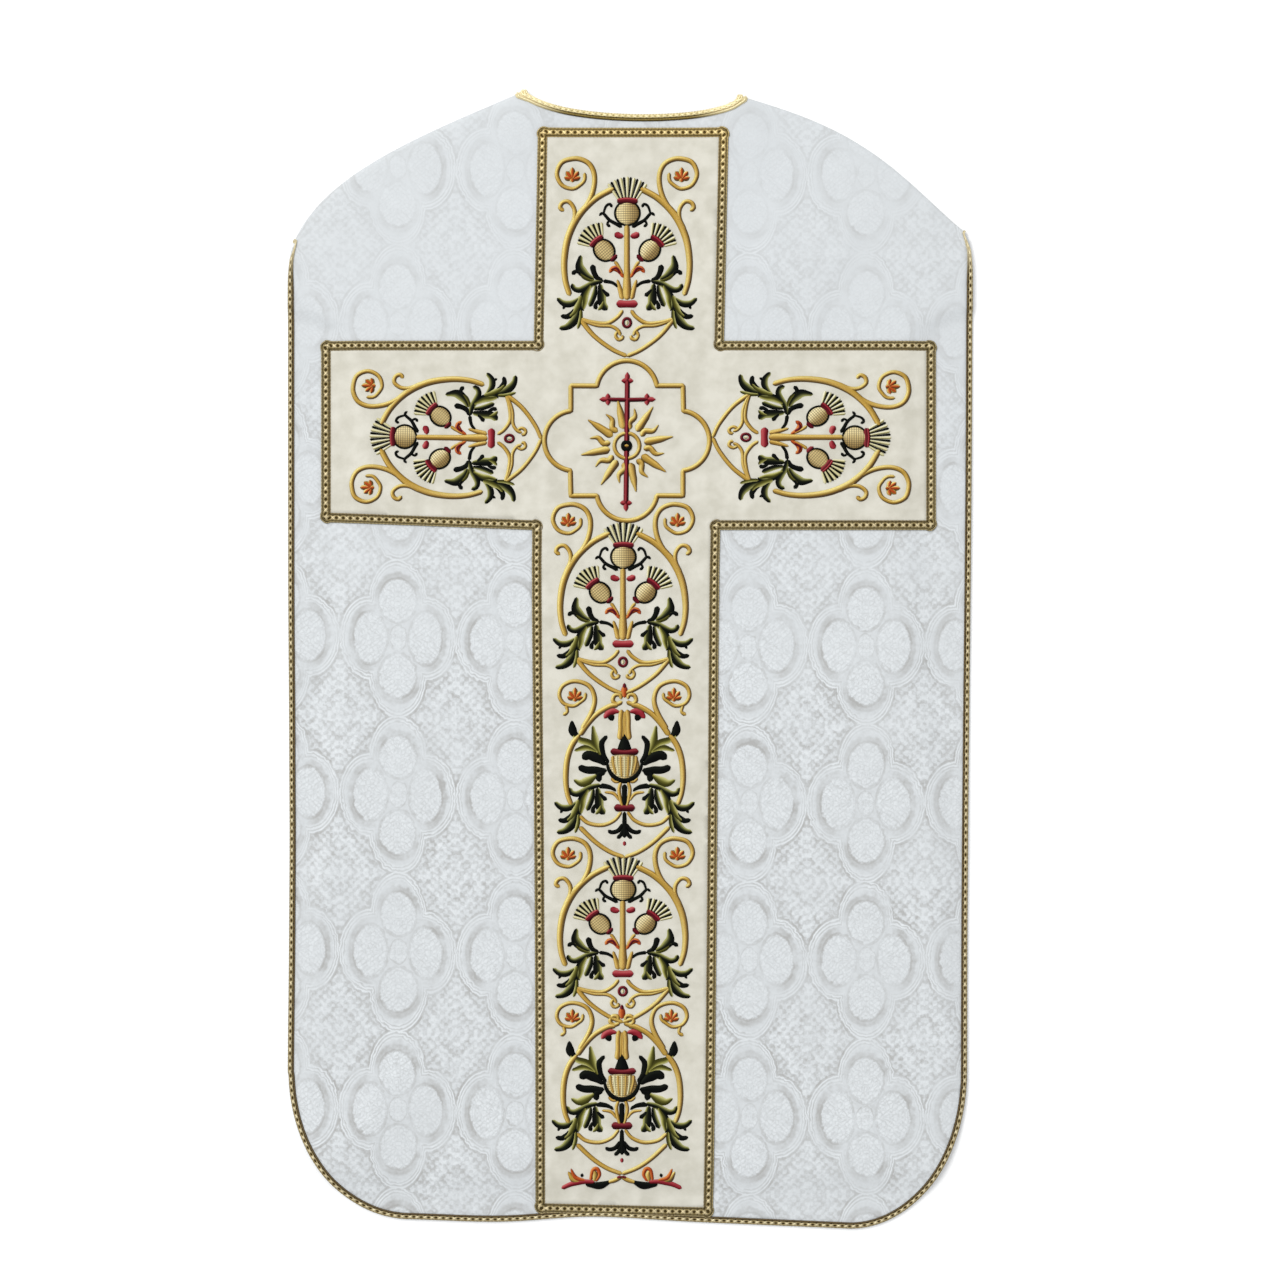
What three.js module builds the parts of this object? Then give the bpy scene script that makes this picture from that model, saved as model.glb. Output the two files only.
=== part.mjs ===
// Fiddleback chasuble laid flat with its back uppermost, in millimetres, +Z up.
// +X is the wearer's right, +Y runs from the hem to the neck, and the cloth rests on z = 0.
// The back is one sheet: it runs up from the hem, folds over at the shoulders and turns under
// to two short shoulder seams, where the front joins it. The front lies hidden underneath.
// Braids and the cross lie on the cells of the sheet that carries them, moved out by the seam gap.
import * as THREE from 'three';

// Cloth
const wall = 2; // brocade, interlining and lining as one wall
const seam = 0.3; // gap between pieces that are sewn together
const sharpestCorner = 0.4; // limits how far an edge is drawn in at a hairpin
const orphreyThick = 1;
const crossBraidThick = 1.6;
const edgeBraidThick = 1.2;
const edgeBraidWidth = 8.5;
const crossBraidWidth = 10;

// Shoulder fold and layers
const foldRadius = 1.8; // inside of the fold
const foldSteps = 6;
const tipBraidWidth = 3.5; // the braid narrows where it rolls over the shoulder's tip
const braidLift = edgeBraidThick + 2 * seam; // how far an underside rises to clear its braid
const topLayer = 4.2; // underside of the back where it lies on the front
const layerMargin = 30; // the back stays up this far past the front's edge
const layerFall = 32; // and reaches the ground over this distance
const shoulderFall = 100; // distance below the fold in which the back settles
const turnedSupport = { from: 325, to: 380, widening: 110 }; // what the turned shoulders carry

// Edges of the back and of the cross at each height
const backSections = [
  { y: -570, left: -342, right: 336, crossLeft: -95, crossRight: 82.5 },
  { y: -413, left: -342, right: 336.5, crossLeft: -95, crossRight: 84.5 },
  { y: -200, left: -339.5, right: 337.5, crossLeft: -96, crossRight: 86.5 },
  { y: 100, left: -341, right: 340.5, crossLeft: -98.5, crossRight: 89 },
  { y: 318, left: -342, right: 342, crossLeft: -96.5, crossRight: 93.5 },
  { y: 534, left: -342, right: 342, crossLeft: -95, crossRight: 98.5 },
];
const backHem = [
  { x: -220, y: -560.5 },
  { x: -130, y: -563 },
  { x: -40, y: -558 },
  { x: 60, y: -563 },
  { x: 220, y: -570 },
];
const backCorners = {
  y: -413,
  left: { x: -220, across: 122, down: 147.5 },
  right: { x: 220, across: 116.5, down: 157 },
};
const backHemRise = 150; // from the hem to the first straight row
const cross = {
  foot: 9, // height of the braid that closes the pillar above the hem's own braid
  armLow: 129,
  armHigh: 318,
  armLeft: -309.5,
  armRight: 305.5,
  top: 534,
  leftArmRise: 8, // the left arm's lower edge climbs this far on its way out
  riseReach: 120,
};
const shoulders = {
  left: [[-341, 384], [-340.5, 464], [-252.5, 507], [-103.5, 568.8]],
  right: [[341.2, 394], [341.5, 441], [249.5, 528], [106.5, 562.5]],
};
const backNeck = [[-103.5, 566], [-68.5, 539], [77.5, 539], [106.5, 559]];
const neckRest = 3.5; // underside of the back at the middle of the neck
const neckReach = { from: 55, to: 105 }; // where the neck edge climbs to the shoulder folds

// The edge that turns under at the shoulder's tip, measured inward and up from the tip
const turnedEdge = [
  { inward: 13.7, up: 18 },
  { inward: 38.7, up: 28 },
  { inward: 60.7, up: 24 },
  { inward: 76.7, up: 9 },
];
const seamAtNeck = { left: [-97, 489], right: [100, 489] };

// The front, hidden under the back: narrow at the chest and wider at the hem
const frontSections = [
  { y: -480, half: 284 },
  { y: -400, half: 284 },
  { y: -200, half: 267 },
  { y: 0, half: 247 },
  { y: 180, half: 236 },
  { y: 300, half: 240 },
  { y: 393, half: 262 },
];
const frontHem = -480;
const frontCorner = { y: -400, across: 80, down: 80 };
const frontNeckDepth = 70; // below the shoulder seams
const frontNeckCut = 4; // slant of the neck braid's ends at the shoulder seams
const frontSpine = 75; // half of the middle part, whose columns run straight down
const frontBodyTop = 330;

// Largest folds and swells of the back, each a soft ridge: turn is in degrees from +X. The last
// one is negative: over the front's neck the cloth sags.
const swells = [
  { x: 207, y: -31, turn: 28, length: 105, width: 26, height: 1.5 },
  { x: 262, y: -86, turn: 24, length: 60, width: 24, height: 1.2 },
  { x: 186, y: 410, turn: 65, length: 70, width: 24, height: 1.4 },
  { x: 140, y: 392, turn: 68, length: 60, width: 22, height: 1.1 },
  { x: -205, y: 446, turn: 118, length: 45, width: 24, height: 1.2 },
  { x: -318, y: 62, turn: 84, length: 70, width: 26, height: 2.4 },
  { x: -318, y: -120, turn: 95, length: 46, width: 24, height: 1.9 },
  { x: -322, y: -236, turn: 90, length: 44, width: 24, height: 2.2 },
  { x: -262, y: -470, turn: 52, length: 70, width: 34, height: 2.6 },
  { x: -120, y: -500, turn: 8, length: 60, width: 28, height: 1.2 },
  { x: 262, y: -486, turn: 128, length: 80, width: 36, height: 2.8 },
  { x: 318, y: -200, turn: 88, length: 90, width: 24, height: 1.6 },
  { x: 316, y: 150, turn: 92, length: 90, width: 26, height: 1.8 },
  { x: 0, y: 498, turn: 0, length: 62, width: 50, height: -1 },
];

// Cells of the back: below the arms, along their height, above them and across the pillar
const bodyCells = 16;
const armCells = 5;
const topCells = 5;
const pillarCells = 5;

// Cells of the front: on each shoulder, across the neck, along the body and above it
const shoulderCells = 5;
const neckCells = 6;
const frontBodyCells = 14;
const frontTopCells = 4;

// Rows of cells. Near the hem a row bends round the corners: depth is its height above the hem
// at the middle, and angle is where it meets the corner's arc.
const backHemRows = [
  { depth: 0, angle: 40 },
  { depth: edgeBraidWidth, angle: 36 },
  { depth: edgeBraidWidth + cross.foot, angle: 24 },
  { depth: 48, angle: 18 },
  { depth: 82, angle: 12 },
  { depth: 116, angle: 6 },
];
const frontHemRows = [
  { depth: 0, angle: 45 },
  { depth: edgeBraidWidth, angle: 40 },
  { depth: 40, angle: 20 },
];

const smooth = (from, to, value) => {
  const t = THREE.MathUtils.clamp((value - from) / (to - from), 0, 1);
  return t * t * (3 - 2 * t);
};
const mix = THREE.MathUtils.lerp;
const point = (x, y) => new THREE.Vector2(x, y);
const curveOf = (points) => new THREE.CubicBezierCurve(...points.map(([x, y]) => point(x, y)));

// Value of one column of a table at a place, read between its rows
function fromTable(table, key, value, place) {
  let row = 0;
  while (row < table.length - 2 && value > table[row + 1][key]) row += 1;
  const [low, high] = [table[row], table[row + 1]];
  const t = THREE.MathUtils.clamp((value - low[key]) / (high[key] - low[key]), 0, 1);
  return mix(low[place], high[place], t);
}

// Where a curve that runs one way in x reaches a given x
function reachOf(curve, x) {
  const rising = curve.v3.x > curve.v0.x;
  let [low, high] = [0, 1];
  for (let step = 0; step < 40; step += 1) {
    const middle = (low + high) / 2;
    if (curve.getPoint(middle).x < x === rising) low = middle;
    else high = middle;
  }
  return (low + high) / 2;
}

const evenly = (from, to, steps) =>
  Array.from({ length: steps + 1 }, (_, step) => mix(from, to, step / steps));

// Height of the hem line of a panel, with its rounded corners
function hemLine(panel, x) {
  for (const side of ['left', 'right']) {
    const corner = panel.corners[side];
    const past = side === 'left' ? corner.x - x : x - corner.x;
    if (past > 0) {
      const t = Math.min(past / corner.across, 1);
      return panel.corners.y - corner.down * Math.sqrt(1 - t * t);
    }
  }
  return panel.hem(x);
}

// A point of a row near the hem. share runs from 0 at the panel's spine to 1 at its side, and is
// negative to the left.
function hemRowPoint(panel, column, row) {
  const side = column.share < 0 ? 'left' : 'right';
  const share = Math.abs(column.share);
  const corner = panel.corners[side];
  const outward = side === 'left' ? -1 : 1;
  const level = panel.corners.y;
  const onArc = (angle) => {
    const turn = THREE.MathUtils.degToRad(angle);
    return point(
      corner.x + outward * corner.across * Math.cos(turn),
      level - corner.down * Math.sin(turn),
    );
  };
  const cornerPoint = onArc(panel.hemRows[0].angle);
  const sidePoint = onArc(row.angle);
  const spineX = column.spine(level - panel.hemRise + row.depth);
  const reach = 1 - row.depth / panel.hemRise;
  const hem = hemLine(panel, mix(spineX, cornerPoint.x, share));
  const bend = level - sidePoint.y - reach * (level - cornerPoint.y);
  return point(
    mix(spineX, sidePoint.x, share),
    sidePoint.y + reach * (hem - cornerPoint.y) + (1 - share) * bend,
  );
}

// Draws the second row and the outermost columns in from the edge by the braid's width
function setBraidMargin(plan, width, lastRow) {
  const columns = plan[0].length - 1;
  const inward = (before, after, sign) => {
    const along = after.clone().sub(before).normalize();
    return point(-along.y * sign, along.x * sign).multiplyScalar(width);
  };
  for (let i = 2; i <= columns - 2; i += 1) {
    plan[1][i] = plan[0][i].clone().add(inward(plan[0][i - 1], plan[0][i + 1], 1));
  }
  for (const [edge, inner, sign] of [[0, 1, -1], [columns, columns - 1, 1]]) {
    for (let j = 2; j <= lastRow; j += 1) {
      plan[j][inner] = plan[j][edge].clone().add(inward(plan[j - 1][edge], plan[j + 1][edge], sign));
    }
    const corner = plan[0][edge];
    plan[1][inner] = corner.clone().add(inward(plan[1][edge], plan[0][inner], -sign));
  }
}

// Plan of the back: columns run from hem to shoulder, rows from the left edge to the right
const backColumns = { armOut: 2, armIn: 3, neck: 8, crossOut: 9, crossIn: 10, last: 25 };
const mirrored = (index) => backColumns.last - index;

function backColumnsAt(y) {
  const at = (place) => fromTable(backSections, 'y', y, place);
  const [left, right] = [at('left'), at('right')];
  const [crossLeft, crossRight] = [at('crossLeft'), at('crossRight')];
  const between = backColumns.crossOut - backColumns.armIn;
  const leftSide = [
    left,
    left + edgeBraidWidth,
    cross.armLeft,
    ...evenly(cross.armLeft + crossBraidWidth, crossLeft, between),
  ];
  const rightSide = [
    ...evenly(crossRight, cross.armRight - crossBraidWidth, between),
    cross.armRight,
    right - edgeBraidWidth,
    right,
  ];
  const inside = evenly(crossLeft + crossBraidWidth, crossRight - crossBraidWidth, pillarCells);
  return [...leftSide, ...inside, ...rightSide];
}

// Shoulder fold under each column, with the direction that points out of the garment
function shoulderFolds() {
  const folds = new Map();
  for (const side of ['left', 'right']) {
    const curve = curveOf(shoulders[side]);
    const outward = side === 'left' ? 1 : -1;
    const [tip, neck] = [curve.v0.x, curve.v3.x];
    const tipBraid = tip + outward * tipBraidWidth;
    const neckBraid = neck - outward * edgeBraidWidth;
    const xs = [tip, ...evenly(tipBraid, neckBraid, backColumns.neck - 2), neck];
    xs.forEach((x, step) => {
      const t = step === 0 ? 0 : step === xs.length - 1 ? 1 : reachOf(curve, x);
      const along = curve.getTangent(t);
      const index = side === 'left' ? step : mirrored(step);
      const out = point(-along.y * outward, along.x * outward);
      const heel = curve.getPoint(t).addScaledVector(out, -(foldRadius + wall));
      folds.set(index, { heel, out });
    });
  }
  return folds;
}

// Rows of the back that bend round the bottom corners
function backHemPlan() {
  const panel = {
    corners: backCorners,
    hem: (x) => fromTable(backHem, 'x', x, 'y'),
    hemRise: backHemRise,
    hemRows: backHemRows,
  };
  const straight = backColumnsAt(backCorners.y);
  const [innerLeft, innerRight] = [backColumns.crossOut, mirrored(backColumns.crossOut)];
  const columns = straight.map((x, index) => {
    const spineIndex = THREE.MathUtils.clamp(index, innerLeft, innerRight);
    const side = index < innerLeft ? straight[0] : straight.at(-1);
    const share = Math.abs((x - straight[spineIndex]) / (side - straight[spineIndex]));
    return {
      share: index < innerLeft ? -share : share,
      spine: (y) => backColumnsAt(y)[spineIndex],
    };
  });
  return backHemRows.map((row) => columns.map((column) => hemRowPoint(panel, column, row)));
}

// Straight rows of the back up to the top of the arms
function backBodyPlan() {
  const heights = [
    ...evenly(backCorners.y, cross.armLow, bodyCells),
    ...evenly(cross.armLow + crossBraidWidth, cross.armHigh - crossBraidWidth, armCells),
    cross.armHigh,
  ];
  return heights.map((y) => {
    const near = 1 - smooth(0, cross.riseReach, Math.abs(y - cross.armLow));
    const [armStart, armEnd] = [backColumnsAt(y)[backColumns.crossOut], cross.armLeft];
    return backColumnsAt(y).map((x) => {
      const out = THREE.MathUtils.clamp((x - armStart) / (armEnd - armStart), 0, 1);
      return point(x, y + cross.leftArmRise * out * near);
    });
  });
}

// Rows of the back that rise to the shoulder folds and to the neck
function backTopPlan(folds) {
  const neckCurve = curveOf(backNeck);
  const below = backColumnsAt(cross.armHigh);
  const ends = backColumnsAt(cross.top).map((x, index) =>
    folds.get(index)?.heel ?? neckCurve.getPoint(reachOf(neckCurve, x)));
  const heightsTo = (end) => [
    ...evenly(cross.armHigh, cross.top - crossBraidWidth, topCells).slice(1),
    cross.top,
    end.y - edgeBraidWidth,
  ];
  const sharesTo = (end) => heightsTo(end).map((y) => (y - cross.armHigh) / (end.y - cross.armHigh));
  const { neck } = backColumns;
  const steps = topCells + 3;
  const rows = [];
  for (let step = 1; step < steps; step += 1) {
    rows.push(below.map((x, index) => {
      const towardsNeck = Math.min(index / neck, mirrored(index) / neck, 1);
      const inner = ends[THREE.MathUtils.clamp(index, neck, mirrored(neck))];
      const share = mix(step / steps, sharesTo(inner)[step - 1], towardsNeck);
      return point(mix(x, ends[index].x, share), mix(cross.armHigh, ends[index].y, share));
    }));
  }
  return [...rows, ends];
}

function planBack() {
  const folds = shoulderFolds();
  const [hemRows, bodyRows, topRows] = [backHemPlan(), backBodyPlan(), backTopPlan(folds)];
  const rows = [...hemRows, ...bodyRows, ...topRows];
  const armHigh = hemRows.length + bodyRows.length - 1;
  const marks = {
    armLow: hemRows.length + bodyCells,
    armHigh,
    top: armHigh + topCells + 1,
    last: rows.length - 1,
  };
  setBraidMargin(rows, edgeBraidWidth, armHigh);
  return { rows, folds, marks };
}

const frontHalfAt = (y) => fromTable(frontSections, 'y', y, 'half');

// How far a point lies past the edge of the layer that supports the back
function pastSupport(x, y) {
  const { from, to, widening } = turnedSupport;
  const half = frontHalfAt(y) + widening * smooth(from, to, y);
  return Math.max(Math.abs(x) - half, frontHem - y);
}

const swellHeight = (x, y) => swells.reduce((sum, swell) => {
  const turn = THREE.MathUtils.degToRad(swell.turn);
  const [dx, dy] = [x - swell.x, y - swell.y];
  const along = (dx * Math.cos(turn) + dy * Math.sin(turn)) / swell.length;
  const across = (dy * Math.cos(turn) - dx * Math.sin(turn)) / swell.width;
  return sum + swell.height * Math.exp(-along * along - across * across);
}, 0);

// Underside of the back as it lies on the front, on the turned shoulders and on the ground
function backHeight(p) {
  const supported = 1 - smooth(layerMargin, layerMargin + layerFall, pastSupport(p.x, p.y));
  return topLayer * supported + swellHeight(p.x, p.y);
}

const withBraid = (index) =>
  [0, 1, backColumns.neck - 1, backColumns.neck].includes(Math.min(index, mirrored(index)));

// The back as a sheet of points on its inner side, with its turned shoulders
function backSheet() {
  const { rows, folds, marks } = planBack();
  const lift = (index) => (withBraid(index) ? braidLift : 0);
  const foldTop = (index) => wall + 2 * foldRadius + lift(index);
  const sheet = rows.map((row) => row.map((p, index) => {
    const ground = backHeight(p);
    const crest = folds.has(index)
      ? foldTop(index)
      : mix(neckRest, foldTop(backColumns.neck), smooth(neckReach.from, neckReach.to, Math.abs(p.x)));
    const near = 1 - smooth(0, shoulderFall, rows[marks.last][index].y - p.y);
    return new THREE.Vector3(p.x, p.y, mix(ground, Math.max(crest, ground), near));
  }));

  for (let step = 1; step <= foldSteps; step += 1) {
    const turn = (Math.PI * step) / foldSteps;
    sheet.push(sheet[0].map((_, index) => {
      if (!folds.has(index)) return undefined;
      const { heel, out } = folds.get(index);
      const plan = heel.clone().addScaledVector(out, foldRadius * Math.sin(turn));
      const z = wall + lift(index) + foldRadius * (1 + Math.cos(turn));
      return new THREE.Vector3(plan.x, plan.y, z);
    }));
  }

  const paths = new Map();
  for (const side of ['left', 'right']) {
    const inward = side === 'left' ? 1 : -1;
    const at = (step) => (side === 'left' ? step : mirrored(step));
    const heel = (step) => folds.get(at(step)).heel;
    const edge = turnedEdge.map((row) => point(heel(0).x + inward * row.inward, heel(0).y + row.up));
    const start = edge.at(-1);
    const end = point(...seamAtNeck[side]);
    const alongSeam = end.clone().sub(start).normalize();
    const fromEdge = edge.map((p, step) => {
      const before = step === 0 ? heel(0) : edge[step - 1];
      const along = (edge[step + 1] ?? p).clone().sub(before).normalize();
      const drawn = point(-along.y * inward, along.x * inward);
      return p.clone().addScaledVector(step === edge.length - 1 ? alongSeam : drawn, edgeBraidWidth);
    });
    paths.set(at(0), edge);
    paths.set(at(1), fromEdge);
    const neckStep = backColumns.neck;
    const seamEnds = evenly(edgeBraidWidth, start.distanceTo(end) - edgeBraidWidth, neckStep - 2);
    for (let step = 2; step <= neckStep; step += 1) {
      const reach = step === neckStep ? start.distanceTo(end) : seamEnds[step - 1];
      const landing = start.clone().addScaledVector(alongSeam, reach);
      paths.set(at(step), edge.map((_, k) => heel(step).clone().lerp(landing, (k + 1) / edge.length)));
    }
  }
  turnedEdge.forEach((_, step) => {
    sheet.push(sheet[0].map((_unused, index) => {
      const path = paths.get(index);
      return path && new THREE.Vector3(path[step].x, path[step].y, wall + lift(index));
    }));
  });
  const seams = {
    left: sheet.at(-1).slice(0, backColumns.neck + 1),
    right: sheet.at(-1).slice(mirrored(backColumns.neck)),
  };
  return { sheet, marks, seams };
}

// The front as a sheet of points on its inner side, from hem to shoulder seams
function frontSheet(seams) {
  const last = 2 * shoulderCells + neckCells;
  const seamLine = (side) => {
    const flat = seams[side].map((p) => point(p.x, p.y));
    const [outer, inner] = side === 'left' ? [flat[0], flat.at(-1)] : [flat.at(-1), flat[0]];
    const along = inner.clone().sub(outer).normalize();
    const away = side === 'left' ? point(along.y, -along.x) : point(-along.y, along.x);
    const length = outer.distanceTo(inner);
    const reaches = [0, ...evenly(edgeBraidWidth, length, shoulderCells - 1)];
    const line = reaches.map((reach) =>
      outer.clone().addScaledVector(along, reach).addScaledVector(away, seam));
    return side === 'left' ? line : line.reverse();
  };
  const [leftSeam, rightSeam] = [seamLine('left'), seamLine('right')];
  const [neckLeft, neckRight] = [leftSeam.at(-1), rightSeam[0]];
  const neck = evenly(0, 1, neckCells).slice(1, -1).map((t) => {
    const turn = Math.PI * t;
    const x = mix(neckLeft.x, neckRight.x, (1 - Math.cos(turn)) / 2);
    return point(x, mix(neckLeft.y, neckRight.y, t) - frontNeckDepth * Math.sin(turn));
  });
  const ends = [...leftSeam, ...neck, ...rightSeam];
  const [neckStart, neckStop] = [shoulderCells, last - shoulderCells];
  const belowNeck = (index) => {
    const along = ends[Math.min(index + 1, neckStop)].clone();
    along.sub(ends[Math.max(index - 1, neckStart)]).normalize();
    const slant = index === neckStart ? frontNeckCut : index === neckStop ? -frontNeckCut : 0;
    return point(along.y, -along.x).multiplyScalar(edgeBraidWidth)
      .add(ends[index]).addScaledVector(along, slant);
  };

  const cornerAt = (x) => ({ x, across: frontCorner.across, down: frontCorner.down });
  const reach = frontHalfAt(frontCorner.y) - frontCorner.across;
  const panel = {
    corners: { y: frontCorner.y, left: cornerAt(-reach), right: cornerAt(reach) },
    hem: () => frontHem,
    hemRise: frontCorner.down,
    hemRows: frontHemRows,
  };
  const columnsAt = (y) => {
    const half = frontHalfAt(y);
    const side = [half, ...evenly(half - edgeBraidWidth, frontSpine, shoulderCells - 1)];
    const middle = evenly(-frontSpine, frontSpine, neckCells).slice(1, -1);
    return [...side.map((x) => -x), ...middle, ...side.reverse()];
  };
  const straight = columnsAt(frontCorner.y);
  const hemColumns = straight.map((x) => {
    const share = Math.max(Math.abs(x) - frontSpine, 0) / (straight.at(-1) - frontSpine);
    const home = THREE.MathUtils.clamp(x, -frontSpine, frontSpine);
    return { share: Math.sign(x) * share, spine: () => home };
  });
  const plan = frontHemRows.map((row) => hemColumns.map((column) => hemRowPoint(panel, column, row)));
  const heights = evenly(frontCorner.y, frontBodyTop, frontBodyCells);
  plan.push(...heights.map((y) => columnsAt(y).map((x) => point(x, y))));
  const below = plan.at(-1);
  for (let step = 1; step < frontTopCells; step += 1) {
    const share = step / frontTopCells;
    plan.push(below.map((p, index) => {
      const isNeck = index >= neckStart && index <= neckStop;
      return isNeck && step === frontTopCells - 1 ? belowNeck(index) : p.clone().lerp(ends[index], share);
    }));
  }
  plan.push(ends);
  const lastRow = plan.length - 1;
  setBraidMargin(plan, edgeBraidWidth, lastRow - 1);

  const sheet = plan.map((row, j) => row.map((p, i) => {
    const fromSide = Math.min(i, last - i);
    const atNeck = j >= lastRow - 1 && fromSide >= shoulderCells;
    const raised = fromSide <= 1 || j <= 1 || atNeck;
    return new THREE.Vector3(p.x, p.y, wall + (raised ? braidLift : 0));
  }));
  return { sheet, last, lastRow };
}

const cellsWhere = (sheet, wanted) => {
  const cells = [];
  for (let j = 0; j < sheet.length - 1; j += 1) {
    for (let i = 0; i < sheet[0].length - 1; i += 1) {
      const whole = sheet[j][i] && sheet[j][i + 1] && sheet[j + 1][i] && sheet[j + 1][i + 1];
      if (whole && wanted(i, j)) cells.push([i, j]);
    }
  }
  return cells;
};

// Outward direction at every point of a sheet
function outwardAt(sheet, side) {
  const normals = sheet.map((row) => row.map((p) => p && new THREE.Vector3()));
  for (const [i, j] of cellsWhere(sheet, () => true)) {
    const across = sheet[j + 1][i + 1].clone().sub(sheet[j][i]);
    const other = sheet[j + 1][i].clone().sub(sheet[j][i + 1]);
    const normal = across.cross(other).multiplyScalar(side);
    for (const [a, b] of [[i, j], [i + 1, j], [i, j + 1], [i + 1, j + 1]]) normals[b][a].add(normal);
  }
  normals.flat().forEach((normal) => normal?.normalize());
  return normals;
}

// A closed wall on some cells of a sheet, between two heights above the sheet's inner side.
// inset draws its edges in, so that two walls on neighbouring cells stay apart.
function wallOn({ sheet, normals, side }, wanted, from, to, inset = 0) {
  const cells = cellsWhere(sheet, wanted);
  const width = sheet[0].length;
  const id = (i, j) => j * width + i;
  const at = (index) => sheet[Math.floor(index / width)][index % width];
  const normalAt = (index) => normals[Math.floor(index / width)][index % width];

  // Size of a triangle as it is seen from outside
  const seen = (a, b, c) => {
    const edge = at(b).clone().sub(at(a));
    return edge.cross(at(c).clone().sub(at(a))).dot(normalAt(a));
  };
  const faces = [];
  const open = new Map();
  for (const [i, j] of cells) {
    const ring = [id(i, j), id(i + 1, j), id(i + 1, j + 1), id(i, j + 1)];
    if (side < 0) ring.reverse();
    const [a, b, c, d] = ring;
    const splits = [[[a, b, c], [a, c, d]], [[a, b, d], [b, c, d]]];
    const [first, second] = splits.map((pair) => Math.min(...pair.map((face) => seen(...face))));
    faces.push(...splits[first >= second ? 0 : 1]);
    ring.forEach((start, step) => {
      const end = ring[(step + 1) % 4];
      if (!open.delete(`${end} ${start}`)) open.set(`${start} ${end}`, [start, end]);
    });
  }

  const drawn = new Map();
  for (const [start, end] of open.values()) {
    for (const index of [start, end]) {
      const along = at(end).clone().sub(at(start)).normalize();
      const inward = normalAt(index).clone().cross(along).normalize();
      drawn.set(index, [...(drawn.get(index) ?? []), inward]);
    }
  }
  const placed = (index, height) => {
    const p = at(index).clone().addScaledVector(normalAt(index), height);
    const [first, second] = drawn.get(index) ?? [];
    if (first && inset > 0) {
      const corner = Math.max(1 + first.dot(second), sharpestCorner);
      p.addScaledVector(first.clone().add(second), inset / corner);
    }
    return p;
  };

  const used = [...new Set(faces.flat())];
  const place = new Map(used.map((index, order) => [index, order]));
  const positions = [];
  for (const height of [to, from]) {
    for (const index of used) positions.push(...placed(index, height).toArray());
  }
  const inner = used.length;
  const indices = [];
  for (const [a, b, c] of faces.map((face) => face.map((index) => place.get(index)))) {
    indices.push(a, b, c, inner + a, inner + c, inner + b);
  }
  for (const edge of open.values()) {
    const [start, end] = edge.map((index) => place.get(index));
    indices.push(inner + start, inner + end, end, inner + start, end, start);
  }
  const geometry = new THREE.BufferGeometry();
  geometry.setAttribute('position', new THREE.Float32BufferAttribute(positions, 3));
  geometry.setIndex(indices);
  geometry.computeVertexNormals();
  return geometry;
}

const brocade = () => new THREE.MeshStandardMaterial({ color: 0xdfe4e8, roughness: 0.55, metalness: 0 });
const ivorySilk = () => new THREE.MeshStandardMaterial({ color: 0xdedbc9, roughness: 0.6, metalness: 0 });
const goldBraid = () => new THREE.MeshStandardMaterial({ color: 0xa48a52, roughness: 0.4, metalness: 0.7 });

const chasuble = new THREE.Group();

function addPiece(name, geometry, material) {
  const mesh = new THREE.Mesh(geometry, material);
  mesh.name = name;
  chasuble.add(mesh);
}

const { sheet: backPoints, marks, seams } = backSheet();
const back = { sheet: backPoints, normals: outwardAt(backPoints, 1), side: 1 };
const frontParts = frontSheet(seams);
const front = { sheet: frontParts.sheet, normals: outwardAt(frontParts.sheet, -1), side: -1 };

const within = (value, low, high) => value >= low && value < high;
const { armOut, armIn, crossOut, crossIn, neck: neckEnd, last: backLast } = backColumns;
const inCross = (i, j) =>
  (within(i, crossOut, mirrored(crossOut)) && within(j, 1, marks.top)) ||
  (within(i, armOut, mirrored(armOut)) && within(j, marks.armLow, marks.armHigh));
const inOrphrey = (i, j) =>
  (within(i, crossIn, mirrored(crossIn)) && within(j, 2, marks.top - 1)) ||
  (within(i, armIn, mirrored(armIn)) && within(j, marks.armLow + 1, marks.armHigh - 1));
const onSideOrHem = (i, j) => i === 0 || i === backLast - 1 || j === 0;
const byNeck = (i, j) => {
  const step = Math.min(i, backLast - 1 - i);
  return (j === marks.last - 1 && step >= neckEnd - 1) || (j >= marks.last && step === neckEnd - 1);
};
const frontLast = frontParts.last;
const onFrontEdge = (i, j) => i === 0 || i === frontLast - 1 || j === 0;
const byFrontNeck = (i, j) =>
  j === frontParts.lastRow - 1 &&
  within(i, shoulderCells, frontLast - shoulderCells);

const onCloth = wall + seam;
const apart = seam / 2;
const everywhere = () => true;

addPiece('back_panel', wallOn(back, everywhere, 0, wall), brocade());
addPiece('front_panel', wallOn(front, everywhere, 0, wall), brocade());
const overlay = (panel, wanted, thick) => wallOn(panel, wanted, onCloth, onCloth + thick, apart);
const crossBorder = (i, j) => inCross(i, j) && !inOrphrey(i, j);
addPiece('orphrey_cross', overlay(back, inOrphrey, orphreyThick), ivorySilk());
addPiece('cross_braid', overlay(back, crossBorder, crossBraidThick), goldBraid());
addPiece('edge_braid_back', overlay(back, onSideOrHem, edgeBraidThick), goldBraid());
addPiece('neck_braid_back', overlay(back, byNeck, edgeBraidThick), goldBraid());
addPiece('edge_braid_front', overlay(front, onFrontEdge, edgeBraidThick), goldBraid());
addPiece('neck_braid_front', overlay(front, byFrontNeck, edgeBraidThick), goldBraid());

export default chasuble;
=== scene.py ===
import bpy
import math
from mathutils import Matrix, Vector, kdtree
from mathutils.geometry import delaunay_2d_cdt


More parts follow.
